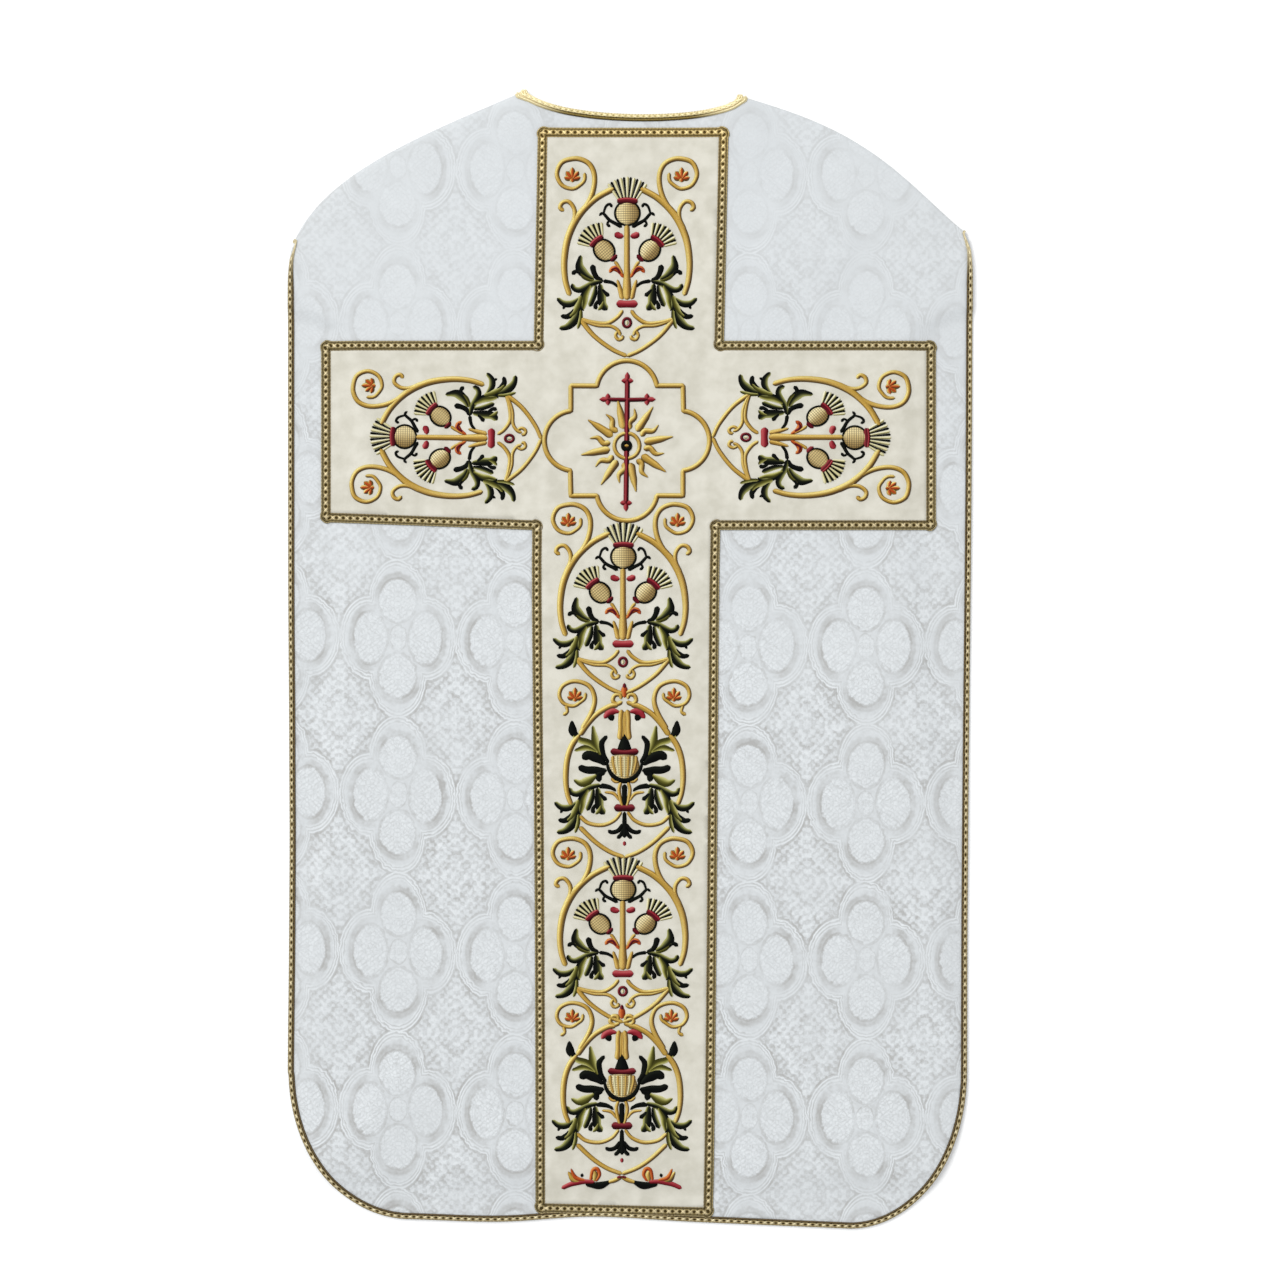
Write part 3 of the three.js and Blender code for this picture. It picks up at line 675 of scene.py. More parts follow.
def crossStations():
    corners = [(-95, -554), (-98.2, 129), (-309.5, 137), (-309.5, 318), (-96.5, 318), (-92.5, 531),
               (98, 531), (93.5, 318), (305.5, 318), (305.5, 129), (89.6, 129), (82.5, -558.5)]
    corners = [Vector(c) for c in corners]
    cornerSteps = 6
    width = crossBraid["width"]
    count = len(corners)
    inner = []
    for k in range(count):
        before = (corners[k] - corners[k - 1]).normalized()
        after = (corners[(k + 1) % count] - corners[k]).normalized()
        turn = before.x * after.y - before.y * after.x
        diagonal = (after - before).normalized() * (-1 if turn > 0 else 1)
        slant = max(0.3, abs(diagonal.x * after.y - diagonal.y * after.x))
        inner.append((corners[k] + diagonal * width / slant, turn < 0))
    stations = []
    for k in range(count):
        corner, (pivot, convex) = corners[k], inner[k]
        before = (corner - corners[k - 1]).normalized()
        after = (corners[(k + 1) % count] - corner).normalized()
        sideIn, sideOut = Vector((-before.y, before.x)), Vector((-after.y, after.x))
        for step in range(cornerSteps + 1):
            t = step / cornerSteps
            aim = sideIn.lerp(sideOut, t).normalized() * (width * (1 + 0.28 * math.sin(math.pi * t)))
            if convex:
                stations.append((pivot + aim, pivot))
            else:
                stations.append((corner, corner - aim))
        following = corners[(k + 1) % count]
        nextPivot, nextConvex = inner[(k + 1) % count]
        start = stations[-1]
        if nextConvex:
            end = (nextPivot + sideOut * width, nextPivot)
        else:
            end = (following, following - sideOut * width)
        length = (end[0] - start[0]).length
        steps = int(length / cloth["edgeStep"])
        for step in range(1, steps):
            t = step / steps
            stations.append((start[0].lerp(end[0], t), start[1].lerp(end[1], t)))
    bent = []
    for outer, lower in stations:
        shift = 0
        if abs(outer.x) < waver["within"] and outer.y < waver["top"]:
            low, high, column = (corners[0], corners[1], 3) if outer.x < 0 else (corners[11], corners[10], 4)
            straight = mix(low.x, high.x, (outer.y - low.y) / (high.y - low.y))
            shift = fromTable(back["sections"], outer.y, column) - straight
            shift *= smooth(*waver["foot"], outer.y) * smooth(waver["top"], waver["fullBelow"], outer.y)
        move = Vector((shift, 0))
        bent.append(onTop(outer + move, lower + move))
    return bent


def underStation(outer, inner):
    # a station that lies flat and faces the ground
    level = cloth["braidLift"]
    return Vector((outer.x, outer.y, level)), Vector((inner.x, inner.y, level)), Vector((0, 0, -1))


def rollStations(side, t, innerT, facingT):
    # round the shoulder's fold, from underneath to the top
    _, out = shoulderPoint(side, facingT)
    part = []
    for k in range(9):
        angle = 180 - 180 * k / 8
        turn = math.radians(angle)
        normal = Vector((out.x * math.sin(turn), out.y * math.sin(turn), math.cos(turn)))
        part.append((rollPoint(side, t, angle), rollPoint(side, innerT, angle), normal))
    return part


def edgeStations():
    width = edgeBraid["width"]
    steps = 24
    ends = {}
    for side in (-1, 1):
        edge = [turnedPoint(side, 0, 1 - k / steps) for k in range(steps + 1)]
        inner = offsetLine(edge, width * side)
        part = []
        for k in range(steps):
            # it narrows to the width that rolls over the tip
            target = turnedPoint(side, 0.045, 1 - k / steps)
            part.append(underStation(edge[k], target.lerp(inner[k], smooth(0, 5, steps - k))))
        ends[side] = part + rollStations(side, 0, 0.02, 0.03)
    rim = backEdge()
    inner = offsetLine(rim, -width)
    top = []
    for k in range(4, len(rim) - 4):
        tip = rim[0] if rim[k].x < 0 else rim[-1]
        top.append(onTop(rim[k], rim[k].lerp(inner[k], mix(0.5, 1, smooth(0, 50, tip.y - rim[k].y)))))
    return ends[-1] + top + ends[1][::-1]


def neckStations():
    width = neckBraid["width"]
    steps = 20
    ends = {}
    for side in (-1, 1):
        edge = [turnedPoint(side, 1, 1 - k / steps) for k in range(steps + 1)]
        inner = offsetLine(edge, -width * side)
        part = [underStation(edge[k], inner[k]) for k in range(steps)]
        ends[side] = part + rollStations(side, 1, 0.967, 0.98)
    rim = [neckPoint(k / 60) for k in range(61)]
    inner = offsetLine(rim, width)
    top = [onTop(rim[k], inner[k]) for k in range(3, 58)]
    return ends[-1] + top + ends[1][::-1]


def frontStations(line, width):
    return [underStation(a, b) for a, b in zip(line, offsetLine(line, -width))]


# dark is the tape, painted shade in the gaps; the cords go from middleTint to pale, a painted highlight,
# where they cross and at the turned ends
edgeBraid = {
    "width": 6.2, "pitch": 7.4, "middle": 0.38, "swing": 0.22, "cord": 1.15, "bead": 3.2,
    "ropes": [(0.08, 0.7, (0.44, 0.35, 0.16)), (0.85, 0.9, (0.15, 0.10, 0.035))],
    "dark": (0.05, 0.03, 0.008), "middleTint": (0.24, 0.17, 0.055), "pale": (0.94, 0.82, 0.52),
    "paleAlong": "y", "highlightEnds": (380, 418),
}
crossBraid = {
    "width": 9.7, "pitch": 7.2, "middle": 0.49, "swing": 0.22, "cord": 1.5, "bead": 3.2,
    "ropes": [(0.07, 0.95, (0.40, 0.32, 0.15)), (0.93, 0.9, (0.28, 0.21, 0.09)),
              (0.22, 0.9, (0.19, 0.14, 0.045)), (0.77, 0.9, (0.17, 0.125, 0.04))],
    "dark": (0.07, 0.045, 0.01), "middleTint": (0.21, 0.15, 0.042), "pale": (0.88, 0.74, 0.44),
    "paleAlong": "y", "highlightEnds": (900, 1000),
}
neckBraid = {
    "width": 7.4, "pitch": 6.0, "middle": 0.34, "swing": 0.12, "cord": 1.25, "bead": 1.4,
    "ropes": [(0.1, 0.8, (0.74, 0.68, 0.48)), (0.76, 1.3, (0.19, 0.14, 0.025))],
    "dark": (0.05, 0.032, 0.006), "middleTint": (0.42, 0.36, 0.18), "pale": (0.80, 0.74, 0.54),
    "paleAlong": "x", "highlightEnds": (58, 100),
}


# the cross of ivory silk

def makeOrphrey(material):
    ring = crossStations()
    inset = [inner.lerp(outer, 0.12) for outer, inner, _ in ring]  # the braid covers its edge
    shortest = 2.2
    outline = []
    for p in inset:
        spot = Vector((p.x, p.y))
        if not outline or (spot - outline[-1]).length > shortest:
            outline.append(spot)
    outline = outline[::-1]
    points, faces, _ = fillOutline(outline, cloth["orphreyCell"])
    verts = [Vector((p.x, p.y, orphreyTop(p.x, p.y))) for p in points]
    sheet = finishMesh("orphrey", newRelief(verts, faces), [material])
    giveWall(sheet, 1.0)
    return sheet


# embroidery, raised over a padding

def threadLook(slot, full, tints, byLight=True):
    # full widens every stroke; byLight puts its pale side where the light comes from
    return {"slot": slot, "full": full, "tints": tints, "byLight": byLight}


looks = {
    "gold": threadLook(1, 1.4, [(76, 50, 4), (188, 148, 48), (240, 224, 142)]),
    "stem": threadLook(1, 1.3, [(98, 66, 6), (186, 144, 48), (230, 206, 120)]),
    "black": threadLook(0, 1.32, [(3, 4, 3), (5, 7, 5), (20, 24, 16)]),
    "leaf": threadLook(0, 1.4, [(4, 6, 4), (40, 44, 16), (184, 182, 110)], byLight=False),
    "olive": threadLook(0, 1.3, [(58, 56, 16), (140, 136, 58), (214, 210, 150)], byLight=False),
    "crimson": threadLook(0, 1.3, [(88, 8, 20), (150, 40, 50), (196, 98, 98)]),
    "darkRed": threadLook(0, 1.3, [(40, 4, 10), (92, 14, 26), (150, 60, 64)]),
    "orange": threadLook(0, 1.2, [(112, 38, 14), (182, 78, 32), (222, 144, 76)]),
    "cream": threadLook(0, 1.0, [(140, 132, 78), (220, 212, 164), (250, 246, 220)]),
    "tan": threadLook(2, 1.0, [(146, 118, 62), (204, 180, 120), (234, 218, 166)]),
}
lightFrom = Vector((-0.7, 0.7))
sunk = 0.35


def linear(rgb):
    return tuple((c / 255 / 12.92) if c <= 10 else ((c / 255 + 0.055) / 1.055) ** 2.4 for c in rgb)


def lookTint(look, t):
    low, middle, high = (linear(c) for c in look["tints"])
    return mixTint(low, middle, t * 2) if t < 0.5 else mixTint(middle, high, t * 2 - 1)


def evenSpots(spots, spacing, closed):
    ring = spots + spots[:1] if closed else spots
    lengths = runLengths(ring)
    count = max(4, round(lengths[-1] / spacing))
    result, k = [], 0
    for index in range(count if closed else count + 1):
        s = lengths[-1] * index / count
        while k < len(lengths) - 2 and lengths[k + 1] < s:
            k += 1
        span = lengths[k + 1] - lengths[k]
        result.append(ring[k].lerp(ring[k + 1], (s - lengths[k]) / span if span > 0 else 0))
    return result, lengths[-1]


def widthAt(width, s):
    if callable(width):
        return width(s)
    if not isinstance(width, tuple):
        return width
    if len(width) == 2:
        return mix(width[0], width[1], s)
    low, middle, high = width
    return mix(low, middle, smooth(0, 0.5, s)) if s < 0.5 else mix(middle, high, smooth(0.5, 1, s))


# the stroke's cross-section: across and up, as shares of half its width and of its height
profile = [(-1, 0), (-0.86, 0.5), (-0.42, 0.9), (0.08, 1), (0.5, 0.88), (0.86, 0.5), (1, 0)]


def stroke(relief, place, lookName, width, height, points, closed=False, curved=True):
    look = looks[lookName]
    full = look["full"]
    widest = full * max(widthAt(width, 0), widthAt(width, 0.5), widthAt(width, 1))
    spots = throughPoints(points, 8) if curved else [Vector(p) for p in points]
    line, length = evenSpots(spots, max(0.7, min(1.7, widest * 0.4)), closed)
    count = len(line)
    chord, middle = line[-1] - line[0], line[count // 2] - line[0]
    bend = 1 if chord.x * middle.y - chord.y * middle.x < 0 else -1
    rings = []
    for k, p in enumerate(line):
        behind, ahead = neighbours(line, k, closed)
        along = (ahead - behind).normalized()
        side = Vector((-along.y, along.x))
        s = k / (count - 1)
        half = full * widthAt(width, s) / 2
        rise = height
        if not closed and not callable(width):
            toEnd = min(s, 1 - s) * length / max(half, 0.1)
            roundness = math.sqrt(clamp(1 - (1 - min(toEnd, 1)) ** 2, 0.06, 1))
            half, rise = half * roundness, rise * mix(0.5, 1, roundness)
        elif callable(width):
            rise = height * mix(0.35, 1, clamp(2 * half / widest))
        centre = place(p.x, p.y)
        base = orphreyTop(centre.x, centre.y)
        worldSide = (place(p.x + side.x, p.y + side.y) - centre).normalized()
        lit = worldSide.dot(lightFrom)
        ring = []
        for u, h in profile:
            spot = place(p.x + side.x * half * u, p.y + side.y * half * u)
            # painted light: the side facing the light gets a painted highlight, the far side painted shade,
            # and both edges are darker
            if look["byLight"]:
                t = 0.44 + 1.0 * u * lit - 0.35 * smooth(0.6, 1, abs(u))
            else:
                t = smooth(-0.3, 1.1, u * bend)
            top = Vector((spot.x, spot.y, base + rise * h))
            ring.append((top, (s * length, u * half), lookTint(look, clamp(t))))
        for u in (1, -1):
            # the stroke's underside is sunk into the silk
            spot = place(p.x + side.x * half * u, p.y + side.y * half * u)
            low = Vector((spot.x, spot.y, base - sunk))
            ring.append((low, (s * length, u * half), lookTint(look, 0.2)))
        rings.append(ring)
    addRings(relief, rings, look["slot"], closed)


def pad(relief, place, lookName, x, y, rx, ry, turn, height):
    c, s = math.cos(math.radians(turn)), math.sin(math.radians(turn))
    ends = [(x - rx * c, y - rx * s), (x, y), (x + rx * c, y + rx * s)]
    stroke(relief, place, lookName, lambda t: 2 * ry * math.sqrt(clamp(1 - (2 * t - 1) ** 2, 0.02, 1)),
           height, ends, curved=False)


def oval(x, y, rx, ry, turn, steps=28):
    c, s = math.cos(math.radians(turn)), math.sin(math.radians(turn))
    spots = []
    for k in range(steps):
        a = 2 * math.pi * k / steps
        dx, dy = rx * math.cos(a), ry * math.sin(a)
        spots.append((x + dx * c - dy * s, y + dx * s + dy * c))
    return spots


def fan(relief, place, x, y, heading, spread, near, far, count):
    for k in range(2 * count - 1):
        angle = math.radians(heading + spread * (k - count + 1) / (count - 1))
        aim = Vector((math.cos(angle), math.sin(angle)))
        reach = far - 1.5 * abs(k - count + 1) / (count - 1)
        a, b = Vector((x, y)) + aim * near, Vector((x, y)) + aim * reach
        name, width = ("cream", (1.8, 3.6)) if k % 2 == 0 else ("black", (0.7, 2.0))
        stroke(relief, place, name, width, 1.1 if k % 2 == 0 else 1.2, [a, a.lerp(b, 0.5), b])


def blossom(relief, place, x, y, size):
    # a small palmette: every petal is gold with a red-orange heart
    petals = [(90, -1, 2.4), (14, 5.4, 4.4), (166, 5.4, 4.4), (52, 6.2, 5.6), (128, 6.2, 5.6), (90, 7.4, 6.6)]
    for angle, reach, length in petals:
        turn = math.radians(angle)
        spot = (x + reach * size * math.cos(turn), y + (reach * math.sin(turn) - 5) * size)
        pad(relief, place, "gold", *spot, length * size, 2.5 * size, angle, 1.2)
        pad(relief, place, "orange", *spot, length * size * 0.9, 1.9 * size, angle, 1.7)


def thistleHead(relief, place, x, y, rx, ry, heading, spread, band, near, far):
    aim = Vector((math.cos(math.radians(heading)), math.sin(math.radians(heading))))
    side = Vector((-aim.y, aim.x))
    pad(relief, place, "tan", x, y, rx, ry, heading, 1.9)
    outline = oval(x, y, rx + 0.5, ry + 0.5, heading)
    stroke(relief, place, "black", 1.6, 1.2, outline, closed=True, curved=False)
    fan(relief, place, x, y, heading, spread, near, far, 7)
    middle = Vector((x, y)) + aim * band
    ends = [middle - side * (ry * 0.86), middle + aim * 0.8, middle + side * (ry * 0.86)]
    stroke(relief, place, "darkRed", 5.8, 1.7, ends)
    raised = [p + aim * 1.6 for p in ends]
    stroke(relief, place, "crimson", 2.2, 2.0, raised)


# one side of each figure, as (look, width, height, points); the other side is its mirror image
leafSpray = [
    ("olive", (2.6, 4.6, 2.4), 1.3, [(36, 19), (41, 9), (42, 1), (44, -6)]),
    ("black", (2.0, 3.2), 1.0, [(8.3, 16.4), (14.7, 21.0), (24, 22.8)]),
    ("leaf", (3.0, 4.8, 3.4), 1.1,
     [(24, 22.8), (33.8, 20.4), (41.5, 16), (47.8, 13.6), (53, 15.3), (54.9, 20)]),
    ("leaf", (2.8, 3.6, 2.2), 1.0, [(33, 20), (41, 13.5), (45.3, 5.1), (45.9, -2.6), (43.2, -7)]),
    ("leaf", (3.4, 6.4, 5.0), 1.0, [(27, 20), (25.6, 10), (24.6, 0), (19.8, -6.2)]),
    ("black", (2.0, 4.0), 1.0, [(28.6, 4), (31.6, -2), (30.4, -5.6)]),
    ("leaf", (2.4, 4.0, 3.8), 1.0, [(31, 19), (32.6, 9), (37.4, -2.8)]),
    ("black", (2.4, 3.8), 1.0, [(26, 15), (21.4, 10.2), (17.6, 8)]),
    ("olive", (2, 3.8, 2), 1.2, [(23, 3), (25.6, -3), (29, -6.4)]),
    ("olive", (4.4, 5.0, 2.4), 1.5, [(45.5, 8), (49, -2), (53, -9), (57.6, -13)]),
    ("leaf", (3.0, 5.0, 3.0), 1.1, [(46.5, 5.5), (55.5, 0), (63.4, 0.4), (69.8, 5.6)]),
    ("black", (3, 2), 1.0, [(57.5, 0), (61.6, -1.6), (64, -5.4)]),
    ("black", (2.6, 4.4, 3.2), 1.1, [(51.5, -4.5), (55, -9.8), (60, -13), (66.2, -12)]),
    ("leaf", (5.0, 6.2, 3.4), 1.1, [(47.4, -2), (49.6, -12), (55, -19.6), (60.6, -23.4), (67.6, -24.6)]),
    ("olive", (2.8, 3.4, 2.2), 1.4, [(46, -6), (46.6, -16), (49.4, -25)]),
]
thistle = {
    "sides": [
        ("gold", (4.6, 5.2, 4.2), 1.5,
         [(13, 134.5), (32, 123.5), (48, 107), (58.5, 86), (62.5, 63), (61.6, 43), (57, 27)]),
        ("gold", (3.8, 3.4, 3.2), 1.3, [(47, 4), (33, -13), (15, -26.5), (0, -33.5)]),
        ("gold", (2.8, 3.8, 4.2), 1.4,
         [(42.2, 150), (42.4, 142.6), (46.9, 137.5), (54.4, 133.8), (64.8, 137.4), (70, 148.6),
          (65, 160.2), (53, 164), (44, 162.6), (37, 158), (33, 150), (32.4, 140), (35, 128),
          (40.5, 117), (50, 106), (57.5, 92)]),
        ("gold", (4.0, 3.2, 3.4), 1.3,
         [(57, 92), (54, 99), (52, 107), (53.2, 115), (58.4, 121), (64.4, 120), (66.8, 115), (63, 111.6)]),
        ("black", (3.2, 2.1), 1.0, [(5, 95.5), (10, 98.4), (17.5, 102.6), (24, 109.4), (27.8, 107)]),
        ("black", (1.7, 2.4), 1.0, [(23.6, 109), (21, 116.4), (17, 118.6), (15, 115.4)]),
        ("black", (1.6, 2.6), 1.0, [(18, 102.4), (19.6, 98.4), (16.6, 96)]),
        ("crimson", (4.0, 5.8), 1.2, [(3.4, 86.4), (8.2, 87), (12, 89.6)]),
        ("orange", (2.4, 5.2, 3), 1.1, [(3.6, 45), (8, 52.6), (14, 54.2), (17.6, 50)]),
        ("darkRed", (2.0, 3.2, 1.6), 1.3, [(6, 48.4), (10.6, 54.4), (17, 52.6)]),
        ("stem", (1.6, 3.0), 1.1, [(4, 48), (8.6, 56.6), (12.4, 61.4)]),
        ("stem", (4.4, 3.8, 2.2), 1.2, [(4.4, 23.5), (6.8, 33), (9.6, 43)]),
        ("darkRed", (3.6, 5.0), 1.3, [(10.0, 67.8), (16.6, 61.6)]),
        ("gold", (3.0, 3.2, 2.8), 1.2, [(4, 12.6), (9.6, 5.4), (20, -0.6), (34, 0.4), (47, 4)]),
        ("gold", (2.6, 2.8, 2.6), 1.2, [(46, 3), (30, -2.6), (16, -3.6), (8.6, -8), (6.4, -13)]),
        ("gold", (2.4, 3.0), 1.2, [(9, -8), (11.4, -12.6), (8.6, -17), (4.4, -15.4), (4.8, -12.4)]),
        ("black", (3.2, 4.0, 4.8), 1.1, [(24, 41.8), (30, 45), (33.2, 51), (34.6, 58)]),
        ("leaf", (3.4, 7.0, 3.0), 1.1, [(33, 43), (41.6, 48), (47.4, 56), (46.2, 67.4)]),
        ("olive", (3.4, 4.6, 2.2), 1.0, [(33, 41.6), (42, 46), (47, 50.6), (50, 51.4)]),
        ("black", (2.2, 3.8), 1.1, [(45, 48.6), (50.6, 51.4), (55, 48.4)]),
    ],
}
sprayRise = 19  # the thistle's leaves sit this much higher than the cup's
thistle["sides"] += [(look, width, height, [(x, y + sprayRise) for x, y in points])
                     for look, width, height, points in leafSpray]

cup = {
    "sides": [
        ("gold", (2.6, 3.2, 4.2), 1.4,
         [(38.8, 115), (39.6, 109.4), (44, 105.5), (51, 101.6), (60.4, 104), (65, 112), (62.2, 121),
          (53, 126), (43, 125.4), (34.6, 121), (30.4, 113), (30, 104), (34, 92.6), (42.4, 78)]),
        ("gold", (2.8, 2.4, 3.2), 1.2, [(58.6, 103), (57, 96), (61.4, 92.6)]),
        ("gold", (4.2, 4.0, 4.4), 1.4, [(6, 103), (14, 101.4), (26, 94.6), (36, 84.6), (44.8, 72.4)]),
        ("gold", (4.4, 4.4, 3.6), 1.4,
         [(45, 73), (52.6, 62), (57.2, 47.7), (58.6, 29.5), (57, 14), (53, 2.6)]),
        ("gold", (3.6, 3.4, 3.2), 1.3, [(45, -19), (29.5, -33.9), (14.7, -44), (0, -49.8)]),
        ("gold", (3.0, 3.0, 2.6), 1.2, [(45, -8), (36, -15.4), (22, -17.4), (10, -12.6), (3, -4)]),
        ("gold", (3.4, 3.0), 1.3,
         [(2, 106), (7.6, 103.6), (11.6, 107), (9.6, 112.4), (4.4, 112.6), (3.4, 108.4)]),
        ("crimson", (2.4, 6.4, 3.2), 1.2, [(5, 95.6), (11, 96.4), (16.4, 94), (20.4, 89.4)]),
        ("black", (5.0, 6.4, 4.0), 1.4, [(10.6, 92.4), (13.4, 90.4), (16.6, 89.6)]),
        ("stem", (3.6, 4.4, 4.0), 0.9, [(0.4, 96), (0.6, 82), (1.4, 70)]),
        ("stem", (4.2, 4.0, 4.6), 1.4, [(2.8, 98), (3.8, 88), (3.8, 78), (4.8, 68)]),
        ("black", (2.6, 5.4, 3.0), 1.1, [(15.6, 45), (22, 54), (23, 64), (17.4, 72)]),
        ("olive", (4.4, 6.0, 2.4), 1.0, [(24, 52), (28.6, 64), (31.6, 82)]),
        ("olive", (4.4, 5.4, 4.0), 1.0, [(24, 54), (34, 64), (45, 68), (51.6, 74)]),
        ("olive", (3.4, 4.6, 2.4), 0.9, [(27, 56), (38, 60), (50, 57)]),
        ("black", (4.0, 6.6, 2.6), 1.1, [(46, 70), (51.4, 76), (52.6, 87)]),
        ("black", (3.0, 8.4, 6.0), 1.2, [(18.6, 42.6), (28, 50.4), (36, 52.6), (42, 48.8)]),
        ("black", (3.6, 6.0, 5.0), 1.2, [(17.6, 37), (28, 37.6), (38, 37.8), (46, 41)]),
        ("black", (4.4, 5.6, 4.4), 1.1, [(19, 36), (25.6, 33.4), (25, 26)]),
        ("olive", (2.6, 7.2, 2.6), 1.0, [(27, 33), (37, 26.4), (44, 24.6), (50.6, 28)]),
        ("black", (2.4, 3.2, 2.6), 1.0, [(8.6, 17.6), (16, 20.6), (26, 21)]),
        ("stem", (2.6, 3.0, 2.2), 1.1, [(3.4, 26), (5.4, 18), (4, 8), (2, 1)]),
        ("stem", (1.8, 2.8, 1.8), 1.1, [(5, 7), (10.6, 14), (20, 15.6)]),
        ("stem", (2.6, 2.6, 2.4), 1.0, [(4, 27), (9, 26), (13.4, 29.6)]),
        ("black", (3.0, 3.4, 3.0), 1.1, [(1, -16), (6.6, -23), (13, -24.6), (16.4, -22.4)]),
        ("black", (2.6, 3.0, 3.2), 1.1, [(0.6, -20), (3.6, -27), (7.4, -30.6)]),
    ],
}
cup["sides"] += leafSpray

footScroll = [
    ("gold", (3.0, 3.4, 2.6), 1.3, [(0, 0), (6, -3.4), (14, -6)]),
    ("darkRed", (3.0, 2.2), 1.4, [(0, 0), (5, -1.6)]),
    ("black", (2.0, 6.4, 3.0), 1.2, [(9, -4), (20, -8.4), (30, -8.6), (36, -8)]),
    ("crimson", (3.0, 4.4, 3.4), 1.2, [(27, -5.4), (38, -5), (50, -7.4), (60, -12)]),
    ("gold", (2.4, 4.6, 1.8), 0.9, [(27.6, -5), (26.4, 2), (28, 7)]),
    ("gold", (2.2, 5.2, 2.0), 0.9, [(38, -5.4), (47.6, -2.6), (53.4, 5)]),
    ("orange", (2.4, 3.4, 2.6), 1.2, [(26, -5), (22, 2), (24.6, 8), (29, 6), (31, -4)]),
    ("orange", (2.4, 4.0, 1.8), 1.1, [(36, -4), (46, -1), (50.6, 8)]),
    ("black", (3.4, 3.4), 1.4, [(38, 1), (41, 1.6)]),
]


def onOrphrey(x, y, turn=0, stretch=1.0, size=1.0):
    c, s = size * math.cos(math.radians(turn)), size * math.sin(math.radians(turn))
    return lambda dx, dy: Vector((x + dx * c - dy * stretch * s, y + dx * s + dy * stretch * c))


def halves(place):
    # a figure's right half and its mirror image
    return place, lambda x, y: place(-x, y)


def drawSides(relief, place, rows):
    for half in halves(place):
        for look, width, height, points in rows:
            stroke(relief, half, look, width, height, points)


def drawFootScroll(relief, place):
    drawSides(relief, place, footScroll)


def drawThistle(relief, place):
    drawSides(relief, place, thistle["sides"])
    for half in halves(place):
        blossom(relief, half, 54.6, 147.6, 0.86)
        thistleHead(relief, half, 22.8, 72.4, 11, 9.4, 50, 34, 11.2, 14.6, 29.5)
    thistleHead(relief, place, 0.4, 109.5, 11.6, 12, 90, 33, 11.6, 15, 36.6)
    stroke(relief, place, "stem", (4.4, 4.6, 7.4), 1.6, [(0, 98), (0, 72), (0, 46), (0, 23)])
    stroke(relief, place, "crimson", (6.4, 5.4, 6.4), 1.6, [(-10.6, 19), (0, 18.6), (10.6, 19)])
    stroke(relief, place, "darkRed", 2.4, 1.5, oval(0, 0, 3.8, 4.4, 0, 18), closed=True, curved=False)
    pad(relief, place, "cream", 0, 0, 2.2, 1.6, 90, 1.1)


def drawCup(relief, place):
    drawSides(relief, place, cup["sides"])
    for half in halves(place):
        blossom(relief, half, 49.4, 112.8, 0.82)
    pad(relief, place, "orange", 0, 116, 6, 3.0, 90, 1.5)
    pad(relief, place, "darkRed", 0, 121, 3.6, 1.5, 90, 1.4)
    pad(relief, place, "tan", 0, 41.5, 14.4, 15.2, 90, 1.6)
    for k in range(-3, 4):
        spread = k * 3.9
        name = "cream" if k % 2 == 0 else "stem"
        bottom = 41.5 - 11.5 * math.sqrt(1 - (spread / 16.5) ** 2)
        rib = [(spread, 52), (spread * 0.96, 44), (spread * 0.72, bottom)]
        stroke(relief, place, name, (3.0, 2.2), 1.9, rib)
    stroke(relief, place, "black", (2.0, 5.0, 2.0), 1.5,
           [(-18, 48), (-15.6, 38), (-9, 30), (0, 27.4), (9, 30), (15.6, 38), (18, 48)])
    stroke(relief, place, "darkRed", (5.6, 4.4, 5.6), 1.9, [(-14, 56.4), (0, 55), (14, 56.4)])
    stroke(relief, place, "black", lambda t: mix(1.2, 11.2, t ** 0.8), 1.9, [(0, 74), (0, 66), (0, 58)])
    stroke(relief, place, "black", (4.4, 4.0, 4.4), 1.3, [(0, 23.4), (0, 12), (0, 2.6)])
    stroke(relief, place, "darkRed", (6.4, 5.0, 6.4), 1.6, [(-10.4, 0), (0, -0.4), (10.4, 0)])
    stroke(relief, place, "black", (3.0, 3.6, 3.4), 1.2, [(0, -4), (0, -14), (0, -30)])
    stroke(relief, place, "crimson", (2.4, 2.8), 1.1, [(0, -33.4), (0, -38)])


